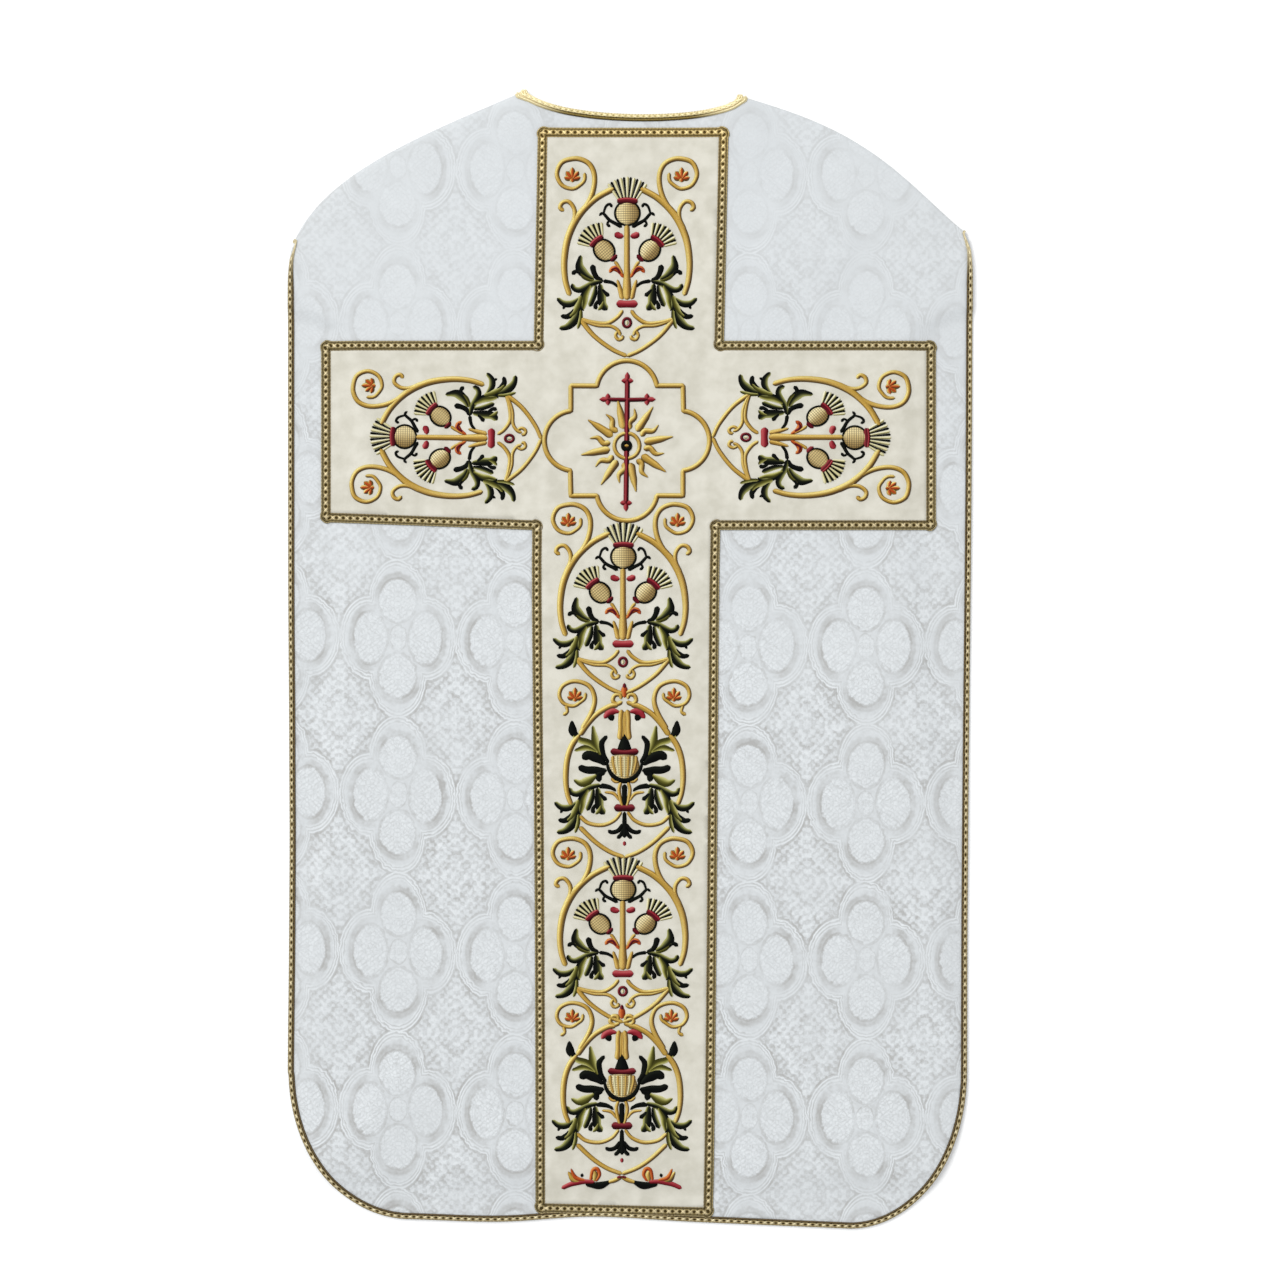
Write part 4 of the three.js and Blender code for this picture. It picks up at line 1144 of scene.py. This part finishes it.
def drawMedallion(relief, place):
    spots = []

    def arc(x, y, r, start, end):
        steps = 22
        for k in range(steps + 1):
            a = math.radians(mix(start, end, k / steps))
            spots.append((x + r * math.cos(a), y + r * math.sin(a)))

    def straight(x, y):
        a, b = Vector(spots[-1]), Vector((x, y))
        steps = max(2, int((b - a).length / 2))
        spots.extend(tuple(a.lerp(b, k / steps)) for k in range(1, steps + 1))

    arc(0, 49.5, 30.5, 10, 170)
    straight(-56, 55)
    straight(-56, 30)
    arc(-52.4, 0, 30.1, 98, 262)
    straight(-56, -55)
    straight(-30, -55)
    arc(0, -49.5, 30.5, 190, 350)
    straight(56, -55)
    straight(56, -30)
    arc(52.4, 0, 30.1, -82, 82)
    straight(56, 55)
    straight(30, 55)
    stroke(relief, place, "gold", 3.8, 1.6, spots, closed=True, curved=False)
    boss = Vector((0, -5))
    for k in range(16):
        angle = math.radians(11.25 + 22.5 * k)
        aim = Vector((math.cos(angle), math.sin(angle)))
        sway = Vector((-aim.y, aim.x)) * 2.2
        if k % 2 == 0:
            ray, width = [boss + aim * r for r in (17.5, 31, 47)], (6.4, 5.2, 1.6)
        else:
            ray = [boss + aim * 17, boss + aim * 23 + sway, boss + aim * 30 - sway, boss + aim * 38]
            width = (4.8, 4.2, 1.4)
        stroke(relief, place, "gold", width, 1.5, ray)
    stroke(relief, place, "gold", 3.0, 1.5, oval(0, -5, 12.6, 12.6, 0, 30), closed=True, curved=False)
    stroke(relief, place, "darkRed", (4.0, 4.2, 4.0), 1.9, [(0.4, 62), (0, 20), (-1, -63)])
    stroke(relief, place, "crimson", 1.9, 2.2, [(0.4, 60), (0, 20), (-1, -61)])
    stroke(relief, place, "darkRed", (3.2, 3.4, 3.2), 2.0, [(-20, 41.4), (0.4, 41), (21, 41.4)])
    for x, y, aim in [(0.4, 60, 90), (-19, 41.4, 180), (20, 41.4, 0), (-1, -62, 270)]:
        for turn, reach in [(0, 8.6), (90, 6), (-90, 6)]:
            a = math.radians(aim + turn)
            tip = Vector((x + reach * math.cos(a), y + reach * math.sin(a)))
            stroke(relief, place, "crimson", (2.6, 4.2, 1.6), 1.6, [(x, y), (Vector((x, y)) + tip) / 2, tip])
    stroke(relief, place, "black", 4.0, 3.0, oval(-0.4, -5, 3.2, 3.6, 0, 18), closed=True, curved=False)
    pad(relief, place, "stem", -0.4, -5, 3.2, 1.6, 0, 3.4)


def embroider(name, draw, place, materials):
    relief = newRelief()
    draw(relief, place)
    piece = finishMesh(name, relief, materials)
    recalcOutside(piece)
    return piece


# materials

def newMaterial(name):
    material = bpy.data.materials.new(name)
    material.use_nodes = True
    nodes, links = material.node_tree.nodes, material.node_tree.links
    nodes.clear()
    out = nodes.new("ShaderNodeOutputMaterial")
    shader = nodes.new("ShaderNodeBsdfPrincipled")
    links.new(shader.outputs[0], out.inputs[0])
    return material, nodes, links, shader


def newGroup(name, inputs, outputs):
    group = bpy.data.node_groups.new(name, "ShaderNodeTree")
    for label, kind, value in inputs:
        socket = group.interface.new_socket(label, in_out="INPUT", socket_type=kind)
        if value is not None:
            socket.default_value = value
    for label, kind in outputs:
        group.interface.new_socket(label, in_out="OUTPUT", socket_type=kind)
    return group, group.nodes.new("NodeGroupInput"), group.nodes.new("NodeGroupOutput")


def useGroup(nodes, group):
    node = nodes.new("ShaderNodeGroup")
    node.node_tree = group
    return node


def calc(tree, operation, *values):
    node = tree.nodes.new("ShaderNodeMath")
    node.operation = operation
    for socket, value in zip(node.inputs, values):
        if hasattr(value, "links"):
            tree.links.new(value, socket)
        else:
            socket.default_value = value
    return node.outputs[0]


def fall(tree, value, start, end, top=1.0):
    # top where the value is below start, 0 above end, soft between
    node = tree.nodes.new("ShaderNodeMapRange")
    node.interpolation_type = "SMOOTHSTEP"
    tree.links.new(value, node.inputs["Value"])
    node.inputs["From Min"].default_value = start
    node.inputs["From Max"].default_value = end
    node.inputs["To Min"].default_value = top
    node.inputs["To Max"].default_value = 0.0
    return node.outputs[0]


def addAll(tree, *values):
    total = values[0]
    for value in values[1:]:
        total = calc(tree, "ADD", total, value)
    return total


def times(tree, *values):
    total = values[0]
    for value in values[1:]:
        total = calc(tree, "MULTIPLY", total, value)
    return total


def ovalReach(tree, u, v, cx, cy, rx, ry):
    a = calc(tree, "DIVIDE", calc(tree, "SUBTRACT", u, cx), rx)
    b = calc(tree, "DIVIDE", calc(tree, "SUBTRACT", v, cy), ry)
    return calc(tree, "SQRT", calc(tree, "ADD", times(tree, a, a), times(tree, b, b)))


def line(tree, value, centre, width, top):
    # a soft line where the value is near centre
    away = calc(tree, "ABSOLUTE", calc(tree, "SUBTRACT", value, centre))
    return fall(tree, away, width * 0.35, width, top)


fullTurn = 6.2832

damask = {
    "centre": (1.5, 21.0), "pitch": (117.0, 157.0),
    "sink": 0.034, "level": -235,  # rows sink to the right, and are true where x is this
    "topLobe": (0, 37.5, 18.4, 22.2), "sideLobe": (27.5, 0, 17, 26.2), "heart": (0, 0, 8.6, 12.4),
    "frameTop": (0, 37, 28, 42), "frameSide": (27, 0, 31, 41),
    "leaves": [(0, 40, 6.4, 15), (0, 30, 8.4, 6), (31, 0, 12.5, 6), (22, 0, 5.6, 8.4), (13.5, 22, 6.4, 7.4),
               (21.5, 12.5, 6.4, 6), (12, 31, 4, 4.6), (0, 10, 7, 8), (10, 0, 8, 7)],
    "stitch": 4.2,  # between the small florets of the ground
}


def makeDamaskGroup():
    # tone of the woven figure: 0.5 is the ground, above it the silk catches the light
    group, source, out = newGroup("damask figure", [("Position", "NodeSocketVector", None)],
                                  [("Tone", "NodeSocketFloat"), ("Figure", "NodeSocketFloat")])
    t = group

    def noise(scale, detail):
        node = t.nodes.new("ShaderNodeTexNoise")
        node.inputs["Scale"].default_value = scale
        node.inputs["Detail"].default_value = detail
        t.links.new(source.outputs["Position"], node.inputs["Vector"])
        return calc(t, "SUBTRACT", node.outputs[0], 0.5)

    split = t.nodes.new("ShaderNodeSeparateXYZ")
    t.links.new(source.outputs["Position"], split.inputs[0])
    flow, ripple = noise(14, 1), noise(190, 2)
    sway = calc(t, "MULTIPLY_ADD", ripple, 4.2, times(t, flow, 6.0))
    halfX, halfY = damask["pitch"][0] / 2, damask["pitch"][1] / 2
    worldX = calc(t, "MULTIPLY", split.outputs[0], 1000.0)
    x = addAll(t, worldX, -damask["centre"][0], sway)
    y = calc(t, "MULTIPLY_ADD", split.outputs[1], 1000.0, -damask["centre"][1])
    # rows sink on the left half and run level on the right
    past = calc(t, "MINIMUM", calc(t, "SUBTRACT", worldX, damask["level"]), -damask["level"])
    y = addAll(t, y, sway, times(t, past, damask["sink"]))
    u = calc(t, "ABSOLUTE", calc(t, "WRAP", x, halfX, -halfX))
    v = calc(t, "ABSOLUTE", calc(t, "WRAP", y, halfY, -halfY))
    e1 = ovalReach(t, u, v, *damask["topLobe"])
    e2 = ovalReach(t, u, v, *damask["sideLobe"])
    e3 = ovalReach(t, u, v, *damask["heart"])
    lobes = calc(t, "MINIMUM", calc(t, "MINIMUM", e1, e2), e3)
    frameIn = calc(t, "MINIMUM", ovalReach(t, u, v, *damask["frameTop"]),
                   ovalReach(t, u, v, *damask["frameSide"]))
    inField = fall(t, frameIn, 1.1, 1.02)
    inLobe = fall(t, lobes, 0.92, 1.04)
    patchy = calc(t, "MULTIPLY_ADD", noise(45, 3), 2.2, 0.62)

    # a soft dark arc hugs the outer side of each lobe
    arcTop = times(t, line(t, e1, 1.13, 0.24, 1.0), fall(t, v, 52.0, 34.0), fall(t, e2, 1.1, 1.0))
    arcSide = times(t, line(t, e2, 1.13, 0.24, 1.0), fall(t, u, 38.0, 22.0), fall(t, e1, 1.1, 1.0))
    arcs = calc(t, "MAXIMUM", arcTop, arcSide)
    bright = addAll(t, line(t, frameIn, 0.99, 0.032, 0.6), line(t, frameIn, 0.905, 0.03, 0.5),
                    line(t, frameIn, 0.83, 0.028, 0.3))
    shade = addAll(t, line(t, frameIn, 1.04, 0.05, 0.8), line(t, frameIn, 0.95, 0.026, 0.5),
                   line(t, frameIn, 0.868, 0.026, 0.4))
    outsideLobe = fall(t, lobes, 1.22, 1.08)
    frames = times(t, calc(t, "SUBTRACT", bright, shade), outsideLobe, patchy)

    # veins that fork like a leaf's, and small cells between them
    folded = t.nodes.new("ShaderNodeCombineXYZ")
    t.links.new(u, folded.inputs[0])
    t.links.new(v, folded.inputs[1])
    slant = calc(t, "MULTIPLY_ADD", u, -0.8, v)
    veins = calc(t, "SINE", calc(t, "MULTIPLY_ADD", slant, 1.35, times(t, ripple, 5.0)))
    cells = t.nodes.new("ShaderNodeTexVoronoi")
    cells.feature = "DISTANCE_TO_EDGE"
    cells.inputs["Scale"].default_value = 0.26
    t.links.new(folded.outputs[0], cells.inputs["Vector"])
    seams = fall(t, cells.outputs["Distance"], 0.02, 0.2)
    veinTone = addAll(t, 0.36, times(t, veins, 0.12), times(t, seams, -0.42))
    rims = times(t, line(t, lobes, 1.0, 0.1, 1.0), -0.5)

    # between the frames, florets in diamonds and a cross of leaves
    p = calc(t, "SUBTRACT", halfX, u)
    q = calc(t, "SUBTRACT", halfY, v)
    reach = ovalReach(t, p, q, *damask["leaves"][0])
    for leaf in damask["leaves"][1:]:
        reach = calc(t, "MINIMUM", reach, ovalReach(t, p, q, *leaf))
    rate = math.pi / damask["stitch"]
    florets = times(t, calc(t, "SINE", times(t, p, rate)), calc(t, "SINE", times(t, q, rate)))
    florets = addAll(t, florets, times(t, ripple, 3.4))
    field = addAll(t, -0.4, fall(t, florets, 0.5, -0.5, 0.5), fall(t, reach, 0.75, 1.25, 0.34),
                   times(t, seams, -0.22))
    field = times(t, field, inField)

    speck = times(t, noise(420, 2), 0.55)
    figure = addAll(t, times(t, veinTone, inLobe), frames, times(t, arcs, patchy, -0.74),
                    times(t, rims, patchy), field, times(t, ripple, 0.8), speck)
    # the figure shows less where the light from the window floods the shoulders
    fade = calc(t, "MULTIPLY_ADD", fall(t, split.outputs[1], -0.1, 0.40), 0.62, 0.38)
    fade = times(t, fade, calc(t, "MULTIPLY_ADD", flow, 1.3, 1.0))
    tone = calc(t, "MULTIPLY_ADD", times(t, figure, fade), 0.5, 0.5)
    t.links.new(tone, out.inputs["Tone"])
    t.links.new(figure, out.inputs["Figure"])
    return group


def makeWeaveGroup():
    # crossing threads, as a height for a bump, and slow unevenness of the cloth
    group, source, out = newGroup("woven threads", [("Position", "NodeSocketVector", None),
                                                    ("Pitch", "NodeSocketFloat", 1.1)],
                                  [("Height", "NodeSocketFloat"), ("Unevenness", "NodeSocketFloat")])
    t = group
    split = t.nodes.new("ShaderNodeSeparateXYZ")
    t.links.new(source.outputs["Position"], split.inputs[0])
    rate = calc(t, "DIVIDE", fullTurn / mm, source.outputs["Pitch"])
    warp = calc(t, "SINE", calc(t, "MULTIPLY", split.outputs[0], rate))
    weft = calc(t, "SINE", calc(t, "MULTIPLY", split.outputs[1], rate))
    height = calc(t, "MAXIMUM", times(t, warp, 0.7), weft)
    slow = t.nodes.new("ShaderNodeTexNoise")
    slow.inputs["Scale"].default_value = 60.0
    slow.inputs["Detail"].default_value = 4.0
    t.links.new(source.outputs["Position"], slow.inputs["Vector"])
    t.links.new(height, out.inputs["Height"])
    t.links.new(slow.outputs[0], out.inputs["Unevenness"])
    return group


def makeStitchGroup():
    # slanting satin stitches from the thread's own map: along in mm, across in mm
    group, source, out = newGroup("stitches", [("Pitch", "NodeSocketFloat", 0.6),
                                               ("Slant", "NodeSocketFloat", 0.5)],
                                  [("Height", "NodeSocketFloat"), ("Across", "NodeSocketFloat")])
    t = group
    uv = t.nodes.new("ShaderNodeUVMap")
    uv.uv_map = "thread"
    split = t.nodes.new("ShaderNodeSeparateXYZ")
    t.links.new(uv.outputs[0], split.inputs[0])
    run = calc(t, "MULTIPLY_ADD", split.outputs[1], source.outputs["Slant"], split.outputs[0])
    height = calc(t, "SINE", calc(t, "DIVIDE", times(t, run, fullTurn), source.outputs["Pitch"]))
    across = calc(t, "SINE", calc(t, "DIVIDE", times(t, split.outputs[1], fullTurn), source.outputs["Pitch"]))
    t.links.new(height, out.inputs["Height"])
    t.links.new(across, out.inputs["Across"])
    return group


def objectPosition(nodes):
    return nodes.new("ShaderNodeTexCoord").outputs["Object"]


def addBump(nodes, links, height, shader, strength, distance):
    bump = nodes.new("ShaderNodeBump")
    bump.inputs["Strength"].default_value = strength
    bump.inputs["Distance"].default_value = distance
    links.new(height, bump.inputs["Height"])
    links.new(bump.outputs[0], shader.inputs["Normal"])


def ramp(nodes, links, value, stops):
    node = nodes.new("ShaderNodeValToRGB")
    elements = node.color_ramp.elements
    while len(elements) < len(stops):
        elements.new(0.5)
    for element, (place, rgb) in zip(elements, stops):
        element.position = place
        element.color = (*rgb, 1)
    links.new(value, node.inputs[0])
    return node.outputs[0]


def clothMaterial(name, stops, pitch, roughness, sheen, figured):
    material, nodes, links, shader = newMaterial(name)
    tree = material.node_tree
    position = objectPosition(nodes)
    weave = useGroup(nodes, weaveGroup)
    weave.inputs["Pitch"].default_value = pitch
    links.new(position, weave.inputs["Position"])
    uneven = calc(tree, "SUBTRACT", weave.outputs["Unevenness"], 0.5)
    if figured:
        figure = useGroup(nodes, damaskGroup)
        links.new(position, figure.inputs["Position"])
        tone = calc(tree, "MULTIPLY_ADD", uneven, 0.16, figure.outputs["Tone"])
        relief = calc(tree, "MULTIPLY_ADD", figure.outputs["Figure"], 1.2, weave.outputs["Height"])
        rough = calc(tree, "MULTIPLY_ADD", figure.outputs["Tone"], -0.22, roughness + 0.11)
    else:
        tone = calc(tree, "MULTIPLY_ADD", uneven, 1.9, 0.5)
        relief = weave.outputs["Height"]
        rough = calc(tree, "MULTIPLY_ADD", uneven, 0.2, roughness)
    links.new(rough, shader.inputs["Roughness"])
    links.new(ramp(nodes, links, tone, stops), shader.inputs["Base Color"])
    shader.inputs["Specular IOR Level"].default_value = 0.28
    shader.inputs["Sheen Weight"].default_value = sheen
    shader.inputs["Sheen Roughness"].default_value = 0.4
    addBump(nodes, links, relief, shader, 0.35, 0.00012)
    return material


def threadMaterial(name, roughness, metallic, specular, pitch, slant, crossed=False):
    # coloured by the tint stored on the stitches
    material, nodes, links, shader = newMaterial(name)
    tree = material.node_tree
    tint = nodes.new("ShaderNodeAttribute")
    tint.attribute_name = "tint"
    stitch = useGroup(nodes, stitchGroup)
    stitch.inputs["Pitch"].default_value = pitch
    stitch.inputs["Slant"].default_value = slant
    noise = nodes.new("ShaderNodeTexNoise")
    noise.inputs["Scale"].default_value = 900.0
    noise.inputs["Detail"].default_value = 2.0
    links.new(objectPosition(nodes), noise.inputs["Vector"])
    # the tints are scaled down, painted shade darkens the grooves between the stitches, and noise varies the
    # tone
    toneAndGrooveShade = calc(tree, "MULTIPLY_ADD", stitch.outputs["Height"], 0.1, 0.72)
    toneAndGrooveShade = calc(tree, "MULTIPLY_ADD", calc(tree, "SUBTRACT", noise.outputs[0], 0.5), 0.24, toneAndGrooveShade)
    relief = stitch.outputs["Height"]
    if crossed:
        netting = calc(tree, "MINIMUM", stitch.outputs["Across"], stitch.outputs["Height"])
        # painted shade in the grooves of the net
        toneAndGrooveShade = calc(tree, "MULTIPLY_ADD", fall(tree, netting, -0.95, -0.3), -0.36, toneAndGrooveShade)
        relief = netting
    shade = nodes.new("ShaderNodeVectorMath")
    shade.operation = "SCALE"
    links.new(tint.outputs["Color"], shade.inputs[0])
    links.new(toneAndGrooveShade, shade.inputs["Scale"])
    links.new(shade.outputs[0], shader.inputs["Base Color"])
    shader.inputs["Roughness"].default_value = roughness
    shader.inputs["Metallic"].default_value = metallic
    shader.inputs["Specular IOR Level"].default_value = specular
    addBump(nodes, links, relief, shader, 0.5, 0.00012)
    return material


def floorMaterial():
    material, nodes, links, shader = newMaterial("paper floor")
    noise = nodes.new("ShaderNodeTexNoise")
    noise.inputs["Scale"].default_value = 40.0
    noise.inputs["Detail"].default_value = 5.0
    links.new(objectPosition(nodes), noise.inputs["Vector"])
    paper = [(0.2, (0.78, 0.78, 0.778)), (0.8, (0.82, 0.82, 0.818))]
    links.new(ramp(nodes, links, noise.outputs[0], paper), shader.inputs["Base Color"])
    shader.inputs["Roughness"].default_value = 0.85
    shader.inputs["Specular IOR Level"].default_value = 0.1
    addBump(nodes, links, noise.outputs[0], shader, 0.05, 0.0002)
    return material


damaskGroup = makeDamaskGroup()
weaveGroup = makeWeaveGroup()
stitchGroup = makeStitchGroup()
whites = [(0.0, (0.315, 0.315, 0.308)), (0.5, (0.464, 0.482, 0.491)), (1.0, (0.58, 0.604, 0.615))]
ivories = [(0.2, (0.435, 0.417, 0.352)), (0.8, (0.515, 0.497, 0.432))]
brocade = clothMaterial("white brocade", whites, 1.0, 0.5, 0.1, True)
ivorySilk = clothMaterial("ivory silk", ivories, 0.9, 0.55, 0.06, False)
braidTape = threadMaterial("braid tape", 0.75, 0.0, 0.1, 1.2, 0.0)
braidCord = threadMaterial("gold cord", 0.38, 0.45, 0.5, 1.1, 1.0)
silkThread = threadMaterial("silk thread", 0.62, 0.0, 0.05, 0.7, 0.6)
goldThread = threadMaterial("gold thread", 0.42, 0.3, 0.4, 0.8, 0.7)
bulbWeave = threadMaterial("bulb weave", 0.55, 0.05, 0.3, 2.3, 0.0, crossed=True)
print("materials made")

backCloth = makeBackShell(brocade)
frontCloth = makeFrontShell(brocade)
orphrey = makeOrphrey(ivorySilk)
print("cloth laid")

braidMaterials = [braidTape, braidCord]
crossGalloon = galloon("crossGalloon", crossStations(), crossBraid, braidMaterials, closed=True)
edgeGalloon = galloon("edgeGalloon", edgeStations(), edgeBraid, braidMaterials)
neckGalloon = galloon("neckGalloon", neckStations(), neckBraid, braidMaterials)
frontEdgeGalloon = galloon("frontEdgeGalloon", frontStations(frontRim, edgeBraid["width"]), edgeBraid,
                           braidMaterials)
frontNeckGalloon = galloon("frontNeckGalloon", frontStations(frontNeck, neckBraid["width"]), neckBraid,
                           braidMaterials)
galloons = [crossGalloon, edgeGalloon, neckGalloon, frontEdgeGalloon, frontNeckGalloon]
print("braids sewn on")

threads = [silkThread, goldThread, bulbWeave]
figures = [
    ("topThistle", drawThistle, onOrphrey(-3.5, 336)),
    ("leftThistle", drawThistle, onOrphrey(-121, 220.3, 89.2, 1.025, 0.933)),
    ("rightThistle", drawThistle, onOrphrey(115.3, 221.5, -90, 1.068, 0.93)),
    ("middleThistle", drawThistle, onOrphrey(-7.5, -3, 0, 0.96)),
    ("lowerThistle", drawThistle, onOrphrey(-7.7, -332, 0, 0.93)),
    ("upperCup", drawCup, onOrphrey(-6, -148.6)),
    ("lowerCup", drawCup, onOrphrey(-8.6, -466.2, 0, 0.97)),
    ("medallion", drawMedallion, onOrphrey(-3.5, 218)),
    ("footScroll", drawFootScroll, onOrphrey(-8.9, -517.3)),
]
embroidery = [embroider(name, draw, place, threads) for name, draw, place in figures]
print("embroidery stitched")

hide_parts("back_panel")
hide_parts("front_panel")
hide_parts("orphrey_cross")
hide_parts("cross_braid")
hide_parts("edge_braid_back")
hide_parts("neck_braid_back")
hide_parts("edge_braid_front")
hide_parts("neck_braid_front")
for piece in [backCloth, frontCloth, orphrey] + galloons + embroidery:
    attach(piece, "root")

# floor, light and camera

bpy.ops.mesh.primitive_plane_add(size=40, location=(0, 0, -0.0003))
floor = bpy.context.object
floor.name = "floor"
floor.data.materials.append(floorMaterial())

sun = bpy.data.lights.new("window", "SUN")
sun.energy = 1.7
sun.angle = math.radians(30)
sunlight = bpy.data.objects.new("window", sun)
sunlight.rotation_euler = (math.radians(36), 0, math.radians(225))  # from the upper left
bpy.context.scene.collection.objects.link(sunlight)

lamp = bpy.data.lights.new("softbox", "AREA")
lamp.size = 1.2
lamp.energy = 6
softbox = bpy.data.objects.new("softbox", lamp)
softbox.location = (-0.45, 1.05, 1.5)
softbox.rotation_euler = (Vector((0.25, -0.65, -1.5))).to_track_quat("-Z", "Y").to_euler()
bpy.context.scene.collection.objects.link(softbox)

world = bpy.data.worlds.new("studio")
world.use_nodes = True
world.node_tree.nodes["Background"].inputs["Color"].default_value = (0.98, 0.99, 1.0, 1)
world.node_tree.nodes["Background"].inputs["Strength"].default_value = 0.95
bpy.context.scene.world = world
bpy.context.scene.view_settings.view_transform = "Standard"

lens = bpy.data.cameras.new("camera")
lens.lens = 90
lens.sensor_width = 36
camera = bpy.data.objects.new("camera", lens)
camera.location = (9.5 * mm, 19 * mm, 3.205)
camera.rotation_euler = (0, 0, 0)
bpy.context.scene.collection.objects.link(camera)
bpy.context.scene.camera = camera

print("scene ready")
